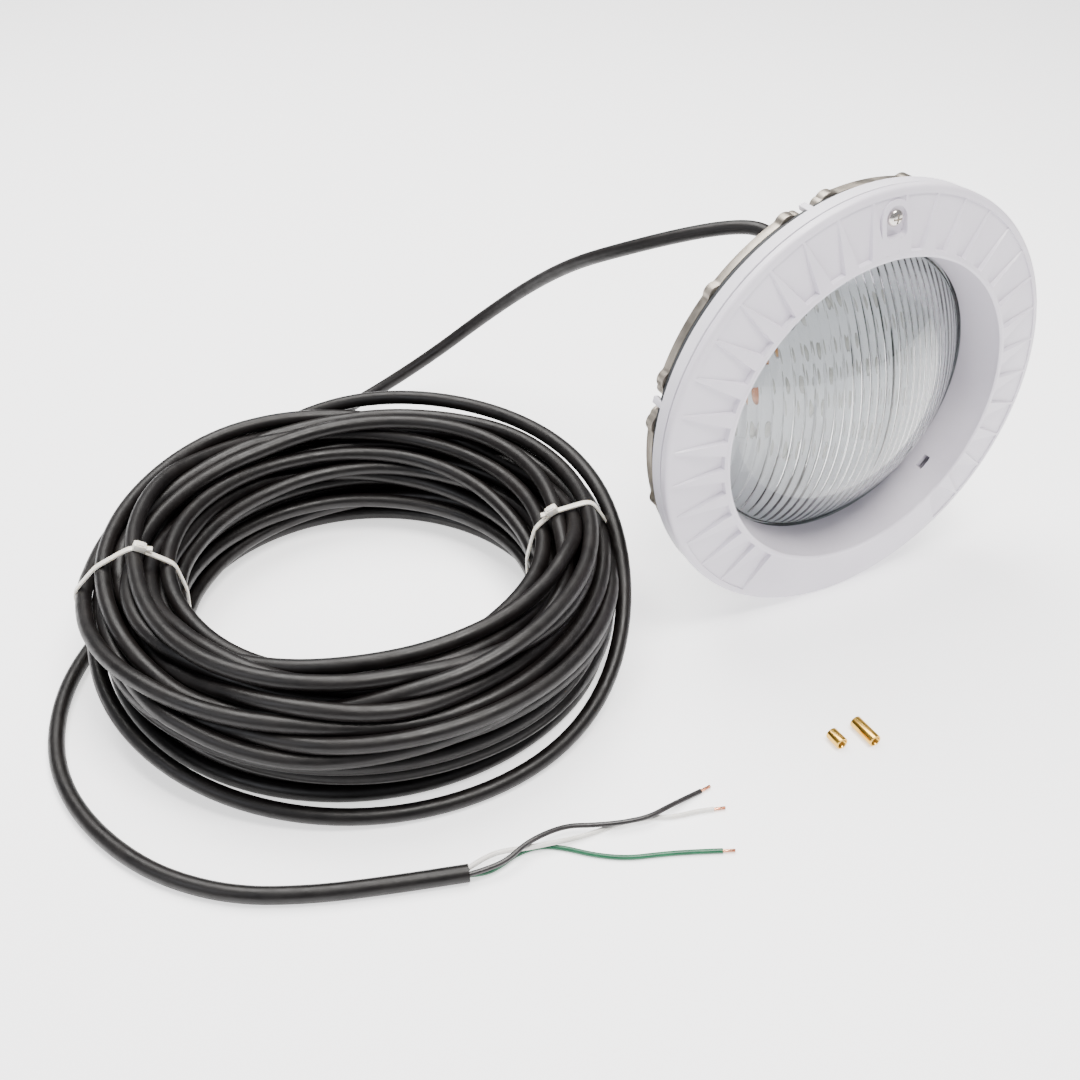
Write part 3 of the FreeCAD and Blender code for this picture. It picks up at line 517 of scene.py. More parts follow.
def repeat_tree():
    """The tree, with inputs for the count, the first angle, the pitch of groups and the step in a group."""
    tree = bpy.data.node_groups.new("repeat_round_axis", "GeometryNodeTree")
    face = tree.interface
    face.new_socket("Geometry", in_out="INPUT", socket_type="NodeSocketGeometry")
    for label, kind in (("Count", "Int"), ("First angle", "Float"), ("Pitch", "Float"), ("Group size", "Int"),
                        ("Step in group", "Float"), ("Finish", "Material")):
        face.new_socket(label, in_out="INPUT", socket_type="NodeSocket" + kind)
    face.new_socket("Geometry", in_out="OUTPUT", socket_type="NodeSocketGeometry")
    given = add(tree, "NodeGroupInput").outputs
    points = add(tree, "GeometryNodeMeshLine", {"Count": given["Count"], "Offset": (0.0, 0.0, 0.0)})
    index = add(tree, "GeometryNodeInputIndex").outputs[0]
    ratio = add(tree, "ShaderNodeMath", {0: index, 1: given["Group size"]}, operation="DIVIDE").outputs[0]
    group = add(tree, "ShaderNodeMath", {0: ratio}, operation="FLOOR").outputs[0]
    member = add(tree, "ShaderNodeMath", {0: index, 1: given["Group size"]}, operation="MODULO").outputs[0]
    angle = add(tree, "ShaderNodeMath", {0: group, 1: given["Pitch"], 2: given["First angle"]},
                operation="MULTIPLY_ADD").outputs[0]
    angle = add(tree, "ShaderNodeMath", {0: member, 1: given["Step in group"], 2: angle},
                operation="MULTIPLY_ADD").outputs[0]
    turn = add(tree, "ShaderNodeCombineXYZ", {"Y": angle}).outputs[0]
    copies = add(tree, "GeometryNodeInstanceOnPoints", {
        "Points": points.outputs["Mesh"], "Instance": given["Geometry"], "Rotation": turn})
    real = add(tree, "GeometryNodeRealizeInstances", {"Geometry": copies.outputs["Instances"]})
    dressed = add(tree, "GeometryNodeSetMaterial", {"Geometry": real.outputs[0], "Material": given["Finish"]})
    add(tree, "NodeGroupOutput", {"Geometry": dressed.outputs["Geometry"]})
    return tree


repeat = repeat_tree()


def repeated(name, shapes, material, count, first_deg, pitch_deg, group=1, step_deg=0.0, crease_deg=32.0):
    """A plain mesh of copies of one shape round the light's axis, made by the repeating tree."""
    host = piece("host", shapes, material, crease_deg)
    modifier = host.modifiers.new("repeat", "NODES")
    modifier.node_group = repeat
    given = {"Count": count, "First angle": math.radians(first_deg), "Pitch": math.radians(pitch_deg),
             "Group size": group, "Step in group": math.radians(step_deg), "Finish": material}
    for item in repeat.interface.items_tree:
        if item.in_out == "INPUT" and item.name in given:
            modifier[item.identifier] = given[item.name]
    host.update_tag()
    return finish_mesh(name, plain_mesh(host), material, crease_deg)


print("repeating tree:", len(repeat.nodes), "nodes")

# %% [markdown]
# ## The cord
# The cord is one fixed length of stiff round cable. It leaves the gland behind the light, drops to the
# floor in a wide curve, is wound 35 times into a loose coil that two ties hold, and ends in a bared tail
# in front. The whole of it is one smooth NURBS curve. Its free stretches follow listed points,
# close to the model's.

# %% The free stretches of the cord
CORD_DIAMETER = 9.3
TIE_THICKNESS = 1.3
TIE_ANGLES = {"cable_tie_left": 165.0, "cable_tie_right": 341.0}
lead_route = [
    (16.0, 58.0, 57.0), (16.0, 92.0, 57.0), (12.5, 108.0, 62.5), (1.0, 126.0, 59.0), (-20.0, 149.0, 49.0),
    (-45.0, 183.0, 30.5), (-61.0, 222.0, 8.0), (-75.0, 261.0, -22.0), (-98.0, 293.0, -56.0),
    (-132.0, 312.0, -88.0), (-172.0, 326.0, -115.0), (-213.0, 326.5, -129.0), (-250.0, 312.0, -130.35),
    (-285.0, 291.0, -130.35), (-321.0, 266.0, -130.35), (-354.0, 234.0, -130.35),
]
tail_route = [
    (-432.0, 147.0, -130.35), (-455.0, 118.0, -130.35), (-470.0, 85.0, -130.35),
    (-477.5, 49.0, -130.35), (-475.0, 12.0, -130.35), (-463.5, -24.0, -130.35), (-445.0, -56.0, -130.35),
    (-417.0, -83.0, -130.35), (-383.0, -100.0, -130.35), (-346.0, -112.5, -130.35), (-308.0, -123.8, -130.35),
]
print("points by hand:", len(lead_route), "to the coil and", len(tail_route), "after it")

# %% [markdown]
# A coil like this is laid by hand, turn on turn, so its strands wander, cross and lie in each other's
# valleys. The winding here does the same: each turn gets a radius that sweeps in and out and wanders a
# little, and drops until it rests on the turns below. Then all strands push each other apart until none
# overlap, while their own stiffness keeps them smooth. The last turn was pulled over the others after the
# coil was tied, and has its places listed one by one.

# %% Wind the coil
STATIONS = 60
START_DEG = 132.0
END_DEG = 144.0
TURNS = 35
MEAN_RADIUS = 132.2
HALF_WIDTH = 31.4
CORNER = 26.0
last_turn = [
    (144, 156.0, 36.0), (165, 157.0, 30.0), (200, 161.5, 20.0), (225, 160.5, 10.0), (252, 160.0, 4.65),
    (290, 163.0, 4.65), (312, 163.5, 18.0), (328, 161.0, 48.0), (341, 155.0, 73.0), (362, 148.0, 83.0),
    (400, 147.0, 83.0), (430, 152.0, 78.0), (450, 158.0, 62.0), (465, 162.0, 40.0), (478, 162.5, 24.0),
    (490, 161.0, 13.5), (504, 158.5, 4.65),
]


def smoothed(values, rounds):
    """Numbers with each one pulled towards its two neighbours."""
    values = values.copy()
    for _ in range(rounds):
        values[1:-1] = values[1:-1] * 0.5 + 0.25 * (values[:-2] + values[2:])
    return values


def strand_floor(angles):
    """The lowest centre height of a strand at each angle: on the floor, or on a tie's strap."""
    low = np.full(len(angles), floor_z + CORD_DIAMETER / 2)
    for tie in TIE_ANGLES.values():
        off = (angles - tie + 180.0) % 360.0 - 180.0
        low += TIE_THICKNESS * np.exp(-(off / 9.0) ** 2)
    return low


def first_lay(angles, hand, inner, outer):
    """Radii that sweep in and out and wander, and heights from dropping each turn on those below."""
    count = len(angles)
    turns = np.arange(count) / STATIONS
    sweep = 1 - np.abs((turns / 4.4) % 2.0 - 1)
    kernel = np.exp(-0.5 * (np.arange(-60, 61) / 11.0) ** 2)
    kernel /= np.sqrt((kernel ** 2).sum())
    noise = np.random.default_rng(7).normal(size=count + 240)
    wander = np.convolve(noise, kernel, "same")[:count]
    radius = np.clip(outer - 4 - (outer - inner - 8) * sweep + 4.5 * wander, inner, outer)
    height = strand_floor(angles)
    for i in range(STATIONS, hand):
        below = np.arange(i - STATIONS, -1, -STATIONS)
        gap = np.abs(radius[below] - radius[i])
        near = below[gap < CORD_DIAMETER]
        if len(near):
            rest = height[near] + np.sqrt(CORD_DIAMETER ** 2 - (radius[near] - radius[i]) ** 2)
            height[i] = max(height[i], rest.max())
    return radius, height


def push_apart(radius, height):
    """How far each strand moves, in radius and height, to clear the strands beside it at its own angle."""
    rows = -(-len(radius) // STATIONS)
    spare = rows * STATIONS - len(radius)
    far = 1e4 + 100.0 * np.arange(spare)
    across = np.concatenate([radius, far]).reshape(rows, STATIONS)
    up = np.concatenate([height, far]).reshape(rows, STATIONS)
    d_across = across[:, None, :] - across[None, :, :]
    d_up = up[:, None, :] - up[None, :, :]
    distance = np.sqrt(d_across ** 2 + d_up ** 2) + 1e-9
    push = np.clip(CORD_DIAMETER * 1.01 - distance, 0, None)
    push[np.arange(rows), np.arange(rows), :] = 0
    moves = [(push * d / distance).sum(1).ravel()[:len(radius)] for d in (d_across, d_up)]
    return moves[0], moves[1]


def wind():
    """The coil's strand as angles, radii and heights, in the coil's own round frame."""
    step = 360.0 / STATIONS
    count = TURNS * STATIONS + round((END_DEG - START_DEG) / step) + 1
    angles = START_DEG + step * np.arange(count)
    hand = count - STATIONS
    inner = MEAN_RADIUS - HALF_WIDTH + CORD_DIAMETER / 2
    outer = MEAN_RADIUS + HALF_WIDTH - CORD_DIAMETER / 2
    lowest = strand_floor(angles)
    low, high = floor_z + CORD_DIAMETER / 2, coil_high[2] - CORD_DIAMETER / 2
    corner = CORNER - CORD_DIAMETER / 2
    turn_angles = angles[hand:] - angles[-1] + END_DEG + 360.0
    hand_radius = smoothed(np.interp(turn_angles, *zip(*[(a, r) for a, r, h in last_turn])), 6)
    hand_height = smoothed(np.interp(turn_angles, *zip(*[(a, floor_z + h) for a, r, h in last_turn])), 6)
    radius, height = first_lay(angles, hand, inner, outer)
    radius[hand:], height[hand:] = hand_radius, hand_height
    rounds = 400
    for n in range(rounds):
        ease = 1 - n / rounds
        d_radius, d_height = push_apart(radius, height)
        radius += 0.42 * d_radius
        height += 0.42 * d_height
        if n < rounds - 25:
            for values in (radius, height):
                values[1:-1] += 0.25 * (0.5 * (values[:-2] + values[2:]) - values[1:-1])
            height[:hand] -= 0.05 * ease
            radius[:hand] += 0.0012 * ease * ((inner + outer) / 2 - radius[:hand])
        radius[hand:] += 0.5 * (hand_radius - radius[hand:])
        height[hand:] += 0.5 * (hand_height - height[hand:])
        across = radius - np.clip(radius, inner + corner, outer - corner)
        up = height - np.clip(height, low + corner, high - corner)
        over = np.maximum(np.hypot(across, up) / corner, 1.0)
        radius[:hand] -= (across * (1 - 1 / over))[:hand]
        height[:hand] -= (up * (1 - 1 / over))[:hand]
        height = np.maximum(height, lowest)
        radius[0], height[0] = 150.5, lowest[0]
        radius[-1], height[-1] = hand_radius[-1], hand_height[-1]
    return angles, radius, height


coil_angles, coil_radii, coil_heights = wind()
print("coil radii %.1f to %.1f mm, top %.1f mm above the floor" % (
    coil_radii.min(), coil_radii.max(), coil_heights.max() + CORD_DIAMETER / 2 - floor_z))

# %% [markdown]
# A curve with a round bevel is Blender's plain way to make a cord. The spline's order is set after its
# points, because Blender lowers it when there are too few.

# %% Cords as curves


def cord_curve(name, route, diameter, material, resolution, ring):
    """A round cord along the control points of one open NURBS spline."""
    data = bpy.data.curves.new(name, "CURVE")
    data.dimensions = "3D"
    data.bevel_depth = diameter * MM / 2
    data.bevel_resolution = ring
    data.resolution_u = resolution
    data.use_fill_caps = True
    spline = data.splines.new("NURBS")
    spline.points.add(len(route) - 1)
    for point, place in zip(spline.points, route):
        point.co = (*(c * MM for c in place), 1.0)
    spline.order_u = 3
    spline.use_endpoint_u = True
    spline.resolution_u = resolution
    data.materials.append(material)
    return linked(name, data)


def centreline(curve_object):
    """The points of a cord's own smooth line, in millimetres."""
    bare = curve_object.data.copy()
    bare.bevel_depth = 0.0
    bare.use_fill_caps = False
    mesh = plain_mesh(linked("bare", bare))
    return np.array([v.co[:] for v in mesh.vertices]) / MM


def at_coil(degrees, radius, height):
    """A point in the row frame from an angle and a radius round the coil."""
    turn = np.radians(degrees)
    x, y = coil_centre
    return np.stack([x + radius * np.cos(turn), y + radius * np.sin(turn), height], -1)


def finer(route):
    """Points of the same smooth curve, four times as close: each round puts two new ones on every side."""
    line = np.array(route)
    for _ in range(2):
        near = 0.75 * line[:-1] + 0.25 * line[1:]
        far = 0.25 * line[:-1] + 0.75 * line[1:]
        line = np.vstack([line[:1], np.stack([near, far], 1).reshape(-1, 3), line[-1:]])
    return [tuple(p) for p in line]


coil_route = at_coil(coil_angles, coil_radii, coil_heights)
cord_route = finer(lead_route)[:-1] + [tuple(p) for p in coil_route] + finer(tail_route)[1:]
cable = cord_curve("cord", cord_route, CORD_DIAMETER, jacket, 2, 5)
cable_line = centreline(cable)
cable_length = np.linalg.norm(np.diff(cable_line, axis=0), axis=1).sum()
print("cord length %.2f m" % (cable_length * MM))

# %% [markdown]
# ## Who stands for what
# A new piece rides on the body that its part belongs to, and hides the plain part.

# %% Hand the cord over


def stands_for(made, body, slot, *nodes):
    """Puts a new piece on its body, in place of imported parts."""
    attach(made, body)
    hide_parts(*nodes)


stands_for(cable, "light", "cord_black", "cable_lead", "cable_coil", "cable_tail")

# %% [markdown]
# ## The three conductors
# The jacket is stripped at the cord's end. Three insulated conductors fan out of it, each with its
# twisted copper strands bare at the tip: six strands round one. Geometry Nodes make the strands from a
# spiral, copied and turned.

# %% Conductors
CORE_DIAMETER = 2.8
STRAND_LENGTH = 6.5
core_routes = {
    "green": [
        (-308.4, -123.5, -132.0), (-300.0, -126.0, -133.2), (-290.5, -124.6, -133.6), (-280.0, -121.4, -133.6),
        (-267.0, -122.4, -133.6), (-256.0, -130.0, -133.6), (-245.0, -141.0, -133.6), (-231.0, -150.5, -133.6),
        (-215.0, -156.0, -133.6), (-200.0, -162.0, -133.6), (-185.0, -169.0, -133.6),
    ],
    "white": [
        (-307.6, -121.9, -129.2), (-299.0, -119.6, -129.4), (-288.0, -119.0, -129.9), (-276.0, -122.8, -130.3),
        (-262.0, -126.2, -130.1), (-248.0, -127.6, -132.6), (-234.0, -128.2, -133.6), (-220.0, -128.6, -133.6),
        (-208.0, -132.0, -133.6), (-195.0, -138.2, -133.6), (-182.0, -140.4, -133.6), (-173.5, -143.2, -133.6),
    ],
    "black": [
        (-308.5, -125.6, -129.2), (-299.5, -127.0, -128.9), (-288.0, -127.4, -127.9), (-276.5, -123.2, -126.8),
        (-264.0, -121.4, -126.9), (-250.0, -121.0, -128.6), (-238.0, -125.6, -130.0), (-224.0, -131.0, -130.1),
        (-209.0, -134.6, -130.0), (-196.0, -132.8, -130.6), (-184.0, -130.4, -132.8), (-172.5, -129.2, -133.6),
    ],
}
core_finish = {"green": core_green, "white": core_white, "black": core_black}
cores = {shade: cord_curve("core_" + shade, route, CORE_DIAMETER, core_finish[shade], 6, 4)
         for shade, route in core_routes.items()}
for shade, core in cores.items():
    stands_for(core, "light", "conductor_" + shade, "conductor_" + shade)
print("conductors:", ", ".join(cores))

# %% Strands


def strand_tree():
    """One strand's spiral beside the axis, copied round it, and one straight strand inside."""
    tree = bpy.data.node_groups.new("twisted_strands", "GeometryNodeTree")
    face = tree.interface
    for label, kind in (("Strands", "Int"), ("Strand radius", "Float"), ("Lay radius", "Float"),
                        ("Length", "Float"), ("Turns", "Float"), ("Finish", "Material")):
        face.new_socket(label, in_out="INPUT", socket_type="NodeSocket" + kind)
    face.new_socket("Geometry", in_out="OUTPUT", socket_type="NodeSocketGeometry")
    given = add(tree, "NodeGroupInput").outputs
    spiral = add(tree, "GeometryNodeCurveSpiral", {
        "Resolution": 20, "Rotations": given["Turns"], "Start Radius": given["Lay radius"],
        "End Radius": given["Lay radius"], "Height": given["Length"]})
    ring = add(tree, "GeometryNodeCurvePrimitiveCircle", {"Resolution": 7, "Radius": given["Strand radius"]})
    wire = add(tree, "GeometryNodeCurveToMesh", {
        "Curve": spiral.outputs[0], "Profile Curve": ring.outputs[0], "Fill Caps": True})
    points = add(tree, "GeometryNodeMeshLine", {"Count": given["Strands"], "Offset": (0.0, 0.0, 0.0)})
    index = add(tree, "GeometryNodeInputIndex").outputs[0]
    share = add(tree, "ShaderNodeMath", {0: index, 1: given["Strands"]}, operation="DIVIDE").outputs[0]
    angle = add(tree, "ShaderNodeMath", {0: share, 1: 2 * math.pi}, operation="MULTIPLY").outputs[0]
    turn = add(tree, "ShaderNodeCombineXYZ", {"Z": angle}).outputs[0]
    copies = add(tree, "GeometryNodeInstanceOnPoints", {
        "Points": points.outputs["Mesh"], "Instance": wire.outputs[0], "Rotation": turn})
    tip = add(tree, "ShaderNodeCombineXYZ", {"Z": given["Length"]}).outputs[0]
    line = add(tree, "GeometryNodeCurvePrimitiveLine", {"End": tip})
    middle = add(tree, "GeometryNodeCurveToMesh", {
        "Curve": line.outputs[0], "Profile Curve": ring.outputs[0], "Fill Caps": True})
    both = add(tree, "GeometryNodeJoinGeometry")
    tree.links.new(copies.outputs["Instances"], both.inputs[0])
    tree.links.new(middle.outputs[0], both.inputs[0])
    real = add(tree, "GeometryNodeRealizeInstances", {"Geometry": both.outputs[0]})
    dressed = add(tree, "GeometryNodeSetMaterial", {"Geometry": real.outputs[0], "Material": given["Finish"]})
    add(tree, "NodeGroupOutput", {"Geometry": dressed.outputs[0]})
    return tree


def strand_bundle():
    """The bundle along +Z from the origin, as (points, faces) in millimetres."""
    host = linked("host", bpy.data.meshes.new("host"))
    modifier = host.modifiers.new("strands", "NODES")
    modifier.node_group = strand_tree()
    given = {"Strands": 6, "Strand radius": 0.3 * MM, "Lay radius": 0.6 * MM,
             "Length": (STRAND_LENGTH + 1.0) * MM, "Turns": 0.45, "Finish": copper}
    for item in modifier.node_group.interface.items_tree:
        if item.in_out == "INPUT":
            modifier[item.identifier] = given[item.name]
    host.update_tag()
    mesh = plain_mesh(host)
    return [tuple(v.co / MM) for v in mesh.vertices], [tuple(f.vertices) for f in mesh.polygons]


bundle = strand_bundle()
tips = []
for route in core_routes.values():
    tip, before = Vector(route[-1]), Vector(route[-2])
    heading = (tip - before) * Vector((1, 1, 0))
    aim = heading.to_track_quat("Z", "Y").to_matrix().to_4x4()
    tips.append(placed(bundle, Matrix.Translation(tip - heading.normalized() * 1.0) @ aim))
strands = piece("strand_tips", tips, copper, 50.0)
stands_for(strands, "light", "copper", "conductor_strands")
print("strands:", len(strands.data.polygons), "faces")

# %% [markdown]
# ## The cable ties
# Two natural nylon ties hold the coil. A tie is pulled tight, so its strap takes the shortest way round
# all the strands at its place: the convex hull of their round sections. The strap is a flat ribbon swept
# along that hull, with its square head on the inner shoulder and a short cut tail.

# %% Cable ties


def hull(points):
    """The convex hull of flat points, anticlockwise."""
    ordered = sorted(set(points))

    def half(run):
        chain = []
        for p in run:
            while len(chain) > 1 and ((chain[-1][0] - chain[-2][0]) * (p[1] - chain[-2][1])
                                      <= (chain[-1][1] - chain[-2][1]) * (p[0] - chain[-2][0])):
                chain.pop()
            chain.append(p)
        return chain[:-1]

    return np.array(half(ordered) + half(ordered[::-1]))


def evenly(loop, spacing):
    """A closed loop of flat points at an even spacing."""
    closed = np.vstack([loop, loop[:1]])
    along = np.concatenate([[0], np.cumsum(np.linalg.norm(np.diff(closed, axis=0), axis=1))])
    stops = np.linspace(0, along[-1], int(along[-1] / spacing), endpoint=False)
    return np.stack([np.interp(stops, along, closed[:, k]) for k in (0, 1)], 1)


def strap_line(degrees, last_angle):
    """The middle line of a strap: the hull of the strands that cross this angle, half a strap further out."""
    reach = CORD_DIAMETER / 2 + TIE_THICKNESS / 2
    crossings = np.arange(degrees, last_angle, 360.0)
    crossings = crossings[crossings >= coil_angles[0]]
    radii = np.interp(crossings, coil_angles, coil_radii)
    heights = np.interp(crossings, coil_angles, coil_heights)
    round_it = np.linspace(0, 2 * math.pi, 48, endpoint=False)
    rim = [(r + reach * math.cos(a), h + reach * math.sin(a)) for r, h in zip(radii, heights) for a in round_it]
    loop = evenly(hull(rim), 1.5)
    for _ in range(6):
        loop = 0.5 * loop + 0.25 * (np.roll(loop, 1, 0) + np.roll(loop, -1, 0))
    loop[:, 1] = np.maximum(loop[:, 1], floor_z + TIE_THICKNESS / 2)
    return loop


def cable_tie(name, degrees, last_angle):
    """A strap with its head: a ribbon along the strap's line, standing in the coil's own radial plane."""
    line = strap_line(degrees, last_angle)
    along = np.roll(line, -1, 0) - np.roll(line, 1, 0)
    along /= np.linalg.norm(along, axis=1)[:, None]
    outward = np.stack([along[:, 1], -along[:, 0]], 1)
    width, thickness, edge = 4.0, TIE_THICKNESS, 0.35
    section = softened([(-width / 2, -thickness / 2), (width / 2, -thickness / 2),
                        (width / 2, thickness / 2), (-width / 2, thickness / 2)], edge, 2)
    points = [(p[0] + n[0] * v, u, p[1] + n[1] * v) for p, n in zip(line, outward) for u, v in section]
    faces = tube(len(line), len(section), True)
    spot = int(np.argmax(outward @ np.array([-0.5, 0.866])))
    p, n = line[spot], outward[spot]
    tilt = math.atan2(-n[0], n[1])
    seat = Matrix.Translation((p[0], 0, p[1])) @ Matrix.Rotation(-tilt, 4, "Y")
    tail_seat = Matrix.Translation((-4.8, 0, 2.2)) @ Matrix.Rotation(0.25, 4, "Y")
    head = [
        block((0, 0, 1.9), (7.4, 5.6, 4.4), 0.7),
        block((0.2, 0, 4.2), (4.6, 4.2, 0.9), 0.3),
        placed(block((0, 0, 0), (5.0, 3.9, 1.1), 0.3), tail_seat),
    ]
    shapes = [(points, faces)] + [placed(part, seat) for part in head]
    stand = Matrix.Translation((*coil_centre, 0)) @ Matrix.Rotation(math.radians(degrees), 4, "Z")
    tie = piece(name.replace("cable_", "nylon_"), [placed(shape, stand) for shape in shapes], nylon, 35.0)
    stands_for(tie, "light", "tie_nylon", name)
    return tie


ties = [
    cable_tie("cable_tie_left", TIE_ANGLES["cable_tie_left"], coil_angles[-1]),
    cable_tie("cable_tie_right", TIE_ANGLES["cable_tie_right"], coil_angles[-1] - 360.0),
]
print("ties:", [len(tie.data.polygons) for tie in ties], "faces")

# %% [markdown]
# ## The loose brass sleeves
# Two turned brass sleeves adapt the light's screw to older niches. Each is a lathe job: rounded rims, and
# a fine thread in the bore, drawn as rings 0.8 mm apart.

# %% Brass sleeves


def sleeve(name, body):
    """A sleeve on the floor, along Y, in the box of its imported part."""
    low, high = box_mm(name)
    outer = (high[0] - low[0]) / 2
    bore, pitch, depth = 2.5, 0.8, 0.28
    centre = ((low[0] + high[0]) / 2, (low[2] + high[2]) / 2)
    front, back = low[1], high[1]
    rim = softened([(bore + 0.3, back), (outer, back), (outer, front), (bore + 0.3, front)], 0.5, 3, False)
    thread = []
    count = int((high[1] - low[1] - 1.2) / pitch)
    for k in range(2 * count + 1):
        thread.append((bore + (depth if k % 2 else 0.0), low[1] + 0.6 + k * pitch / 2))
    made = piece(name + "_turned", [lathe(rim + thread, 48, True, centre)], brass, 40.0)
    stands_for(made, body, "sleeve_brass", name)
    print(name, "length %.1f mm, outside %.1f mm" % (high[1] - low[1], 2 * outer))


sleeve("sleeve_long", "long_sleeve")
sleeve("sleeve_short", "short_sleeve")

# %% [markdown]
# ## The face ring
# The face ring is one injection moulding: a rounded rim, a sloping face with fins, a rounded lip and a
# deep wall down to the lens. The shape follows a rule, so only one sector of it is drawn: ten degrees
# wide, with half a fin at each side and the sunk pocket between them. The repeating tree turns 29 of
# these round the axis, and seven plain ones fill the bottom, where no fins are.

# %% One sector of the face ring
FIN_PITCH = 10.0
FIN_TURN = 3.2
FIN_HALF_AT_LIP = 2.6
FIN_HALF_AT_RIM = 0.3
POCKET_AT_LIP = 3.0
POCKET_AT_RIM = 0.8
POCKET_OUTER = 130.4
POCKET_INNER = 101.0
SHOULDER = (130.8, -19.8)
RIM_BACK = -14.0
FACE_END = (100.4, -27.2)
LIP = 97.3
WALL_FOOT = (93.4, 2.2)


def face_y(radius):
    """The y of the sloping face at a radius."""
    return np.interp(radius, (FACE_END[0], SHOULDER[0]), (FACE_END[1], SHOULDER[1]))


def ring_outline():
    """The ring's closed section as (radius, y) points, each with the pocket's depth there."""
    back = RIM_BACK
    face = [SHOULDER[0], POCKET_OUTER + 0.12, POCKET_OUTER - 0.12, 127.0, 122.0, 117.0, 112.0, 107.0, 103.5,
            POCKET_INNER + 0.16, POCKET_INNER - 0.16, FACE_END[0]]
    wall_middle = ((LIP + WALL_FOOT[0]) / 2 + 1.3, (FACE_END[1] + WALL_FOOT[1]) / 2 - 4.0)
    hind_middle = (wall_middle[0] + 3.0, wall_middle[1] + 1.0)
    rows = [(rim_radius - 0.5, back), (rim_radius, back - 0.5)]
    rows += bowed((rim_radius, back - 3.0), (rim_radius - 1.1, SHOULDER[1] + 0.95), SHOULDER, 7)[:-1]
    rows += [(r, face_y(r)) for r in face]
    rows += bowed(FACE_END, (LIP + 1.3, crest_y), (LIP, FACE_END[1]), 7)[1:]
    rows += bowed((LIP, FACE_END[1]), wall_middle, (WALL_FOOT[0], WALL_FOOT[1] - 0.4), 12)[1:]
    foot, foot_y = WALL_FOOT
    rows += [(foot + 0.4, foot_y), (foot + 2.6, foot_y), (foot + 3.0, foot_y - 0.4)]
    rows += bowed((foot + 3.0, foot_y - 2.0), hind_middle, (LIP + 3.0, FACE_END[1] + 3.6), 6)
    rows += [(116.0, face_y(116.0) + 3.4), (rim_radius - 3.0, FACE_END[1] + 3.6 + 7.7),
             (rim_radius - 3.0, back)]
    return rows


def pocket_depth(radius):
    """How deep a pocket's floor is at a radius."""
    if not POCKET_INNER <= radius <= POCKET_OUTER:
        return 0.0
    return np.interp(radius, (POCKET_INNER, POCKET_OUTER), (POCKET_AT_LIP, POCKET_AT_RIM))


def sector(sunk):
    """Ten degrees of the ring, with or without its pocket, as (points, faces)."""
    rows = ring_outline()
    half = FIN_PITCH / 2
    edge_mm = 0.3
    points = []
    for index, (radius, y) in enumerate(rows):
        across = np.interp(radius, (POCKET_INNER, POCKET_OUTER),
                           (POCKET_INNER * FIN_HALF_AT_LIP, POCKET_OUTER * FIN_HALF_AT_RIM)) / radius
        wall = half - across
        edge = math.degrees(edge_mm / radius)
        right = [0.0, 0.3 * wall, 0.6 * wall, 0.85 * wall, wall - edge, wall - edge / 3, wall + edge / 3,
                 min(wall + edge, half - 0.01), half]
        share = [1.0, 1.0, 1.0, 1.0, 1.0, 0.82, 0.18, 0.0, 0.0]
        angles = [-a for a in right[:0:-1]] + right
        sink = share[:0:-1] + share
        face_row = SHOULDER[0] >= radius >= FACE_END[0] and y < SHOULDER[1] + 0.01 and index < 24
        depth = pocket_depth(radius) if sunk and face_row else 0.0
        for angle, part in zip(angles, sink):
            turn = math.radians(angle)
            points.append((radius * math.sin(turn), y + depth * part, radius * math.cos(turn)))
    wide = 17
    faces = []
    for i in range(len(rows)):
        j = (i + 1) % len(rows)
        faces += [(i * wide + k, j * wide + k, j * wide + k + 1, i * wide + k + 1) for k in range(wide - 1)]
    return points, faces


PLAIN_SECTORS = 7
finned = round(360 / FIN_PITCH) - PLAIN_SECTORS
first_plain = FIN_TURN + FIN_PITCH * 14.5
first_sunk = first_plain + FIN_PITCH * PLAIN_SECTORS
sunk_part = repeated("sunk", [sector(True)], white_abs, finned, first_sunk, FIN_PITCH)
plain_part = repeated("plain", [sector(False)], white_abs, PLAIN_SECTORS, first_plain, FIN_PITCH)


def shape_of(obj):
    """An object's mesh as (points, faces) in millimetres; the object is removed."""
    mesh = obj.data
    flat = np.empty(3 * len(mesh.vertices))
    mesh.vertices.foreach_get("co", flat)
    shape = (flat.reshape(-1, 3) / MM, [tuple(f.vertices) for f in mesh.polygons])
    bpy.data.objects.remove(obj)
    return shape


face_ring = piece("face_ring_moulding", [shape_of(sunk_part), shape_of(plain_part)], white_abs)
print("face ring before its cuts:", len(face_ring.data.polygons), "faces")

# %% [markdown]
# At twelve o'clock a round boss carries the screw that holds the light in its niche. Its head sits in a
# recess that runs out towards the lip like a drop. Lower down, a small window in the deep wall lets water
# out. Exact Booleans cut these, because they cross the sectors' own grid.

# %% Boss, recess and window
PILOT_Z = 119.0
RECESS_FLOOR = -20.2
BOSS_BACK = -16.6


def prism(outline, y_low, y_high):
    """A closed prism along Y over flat (x, z) points; y_high may be a function of them."""
    count = len(outline)
    low = [(x, y_low, z) for x, z in outline]
    high = [(x, y_high(x, z) if callable(y_high) else y_high, z) for x, z in outline]
    sides = [(k, (k + 1) % count, count + (k + 1) % count, count + k) for k in range(count)]
    return low + high, sides + [tuple(range(count))[::-1], tuple(range(count, 2 * count))]


def circle(radius, z, start_deg=0.0, stop_deg=360.0, steps=48, x=0.0):
    """Points of a circle or an arc in the face's plane."""
    whole = stop_deg - start_deg >= 360
    turns = np.radians(np.linspace(start_deg, stop_deg, steps, endpoint=not whole))
    return [(x + radius * math.cos(t), z + radius * math.sin(t)) for t in turns]


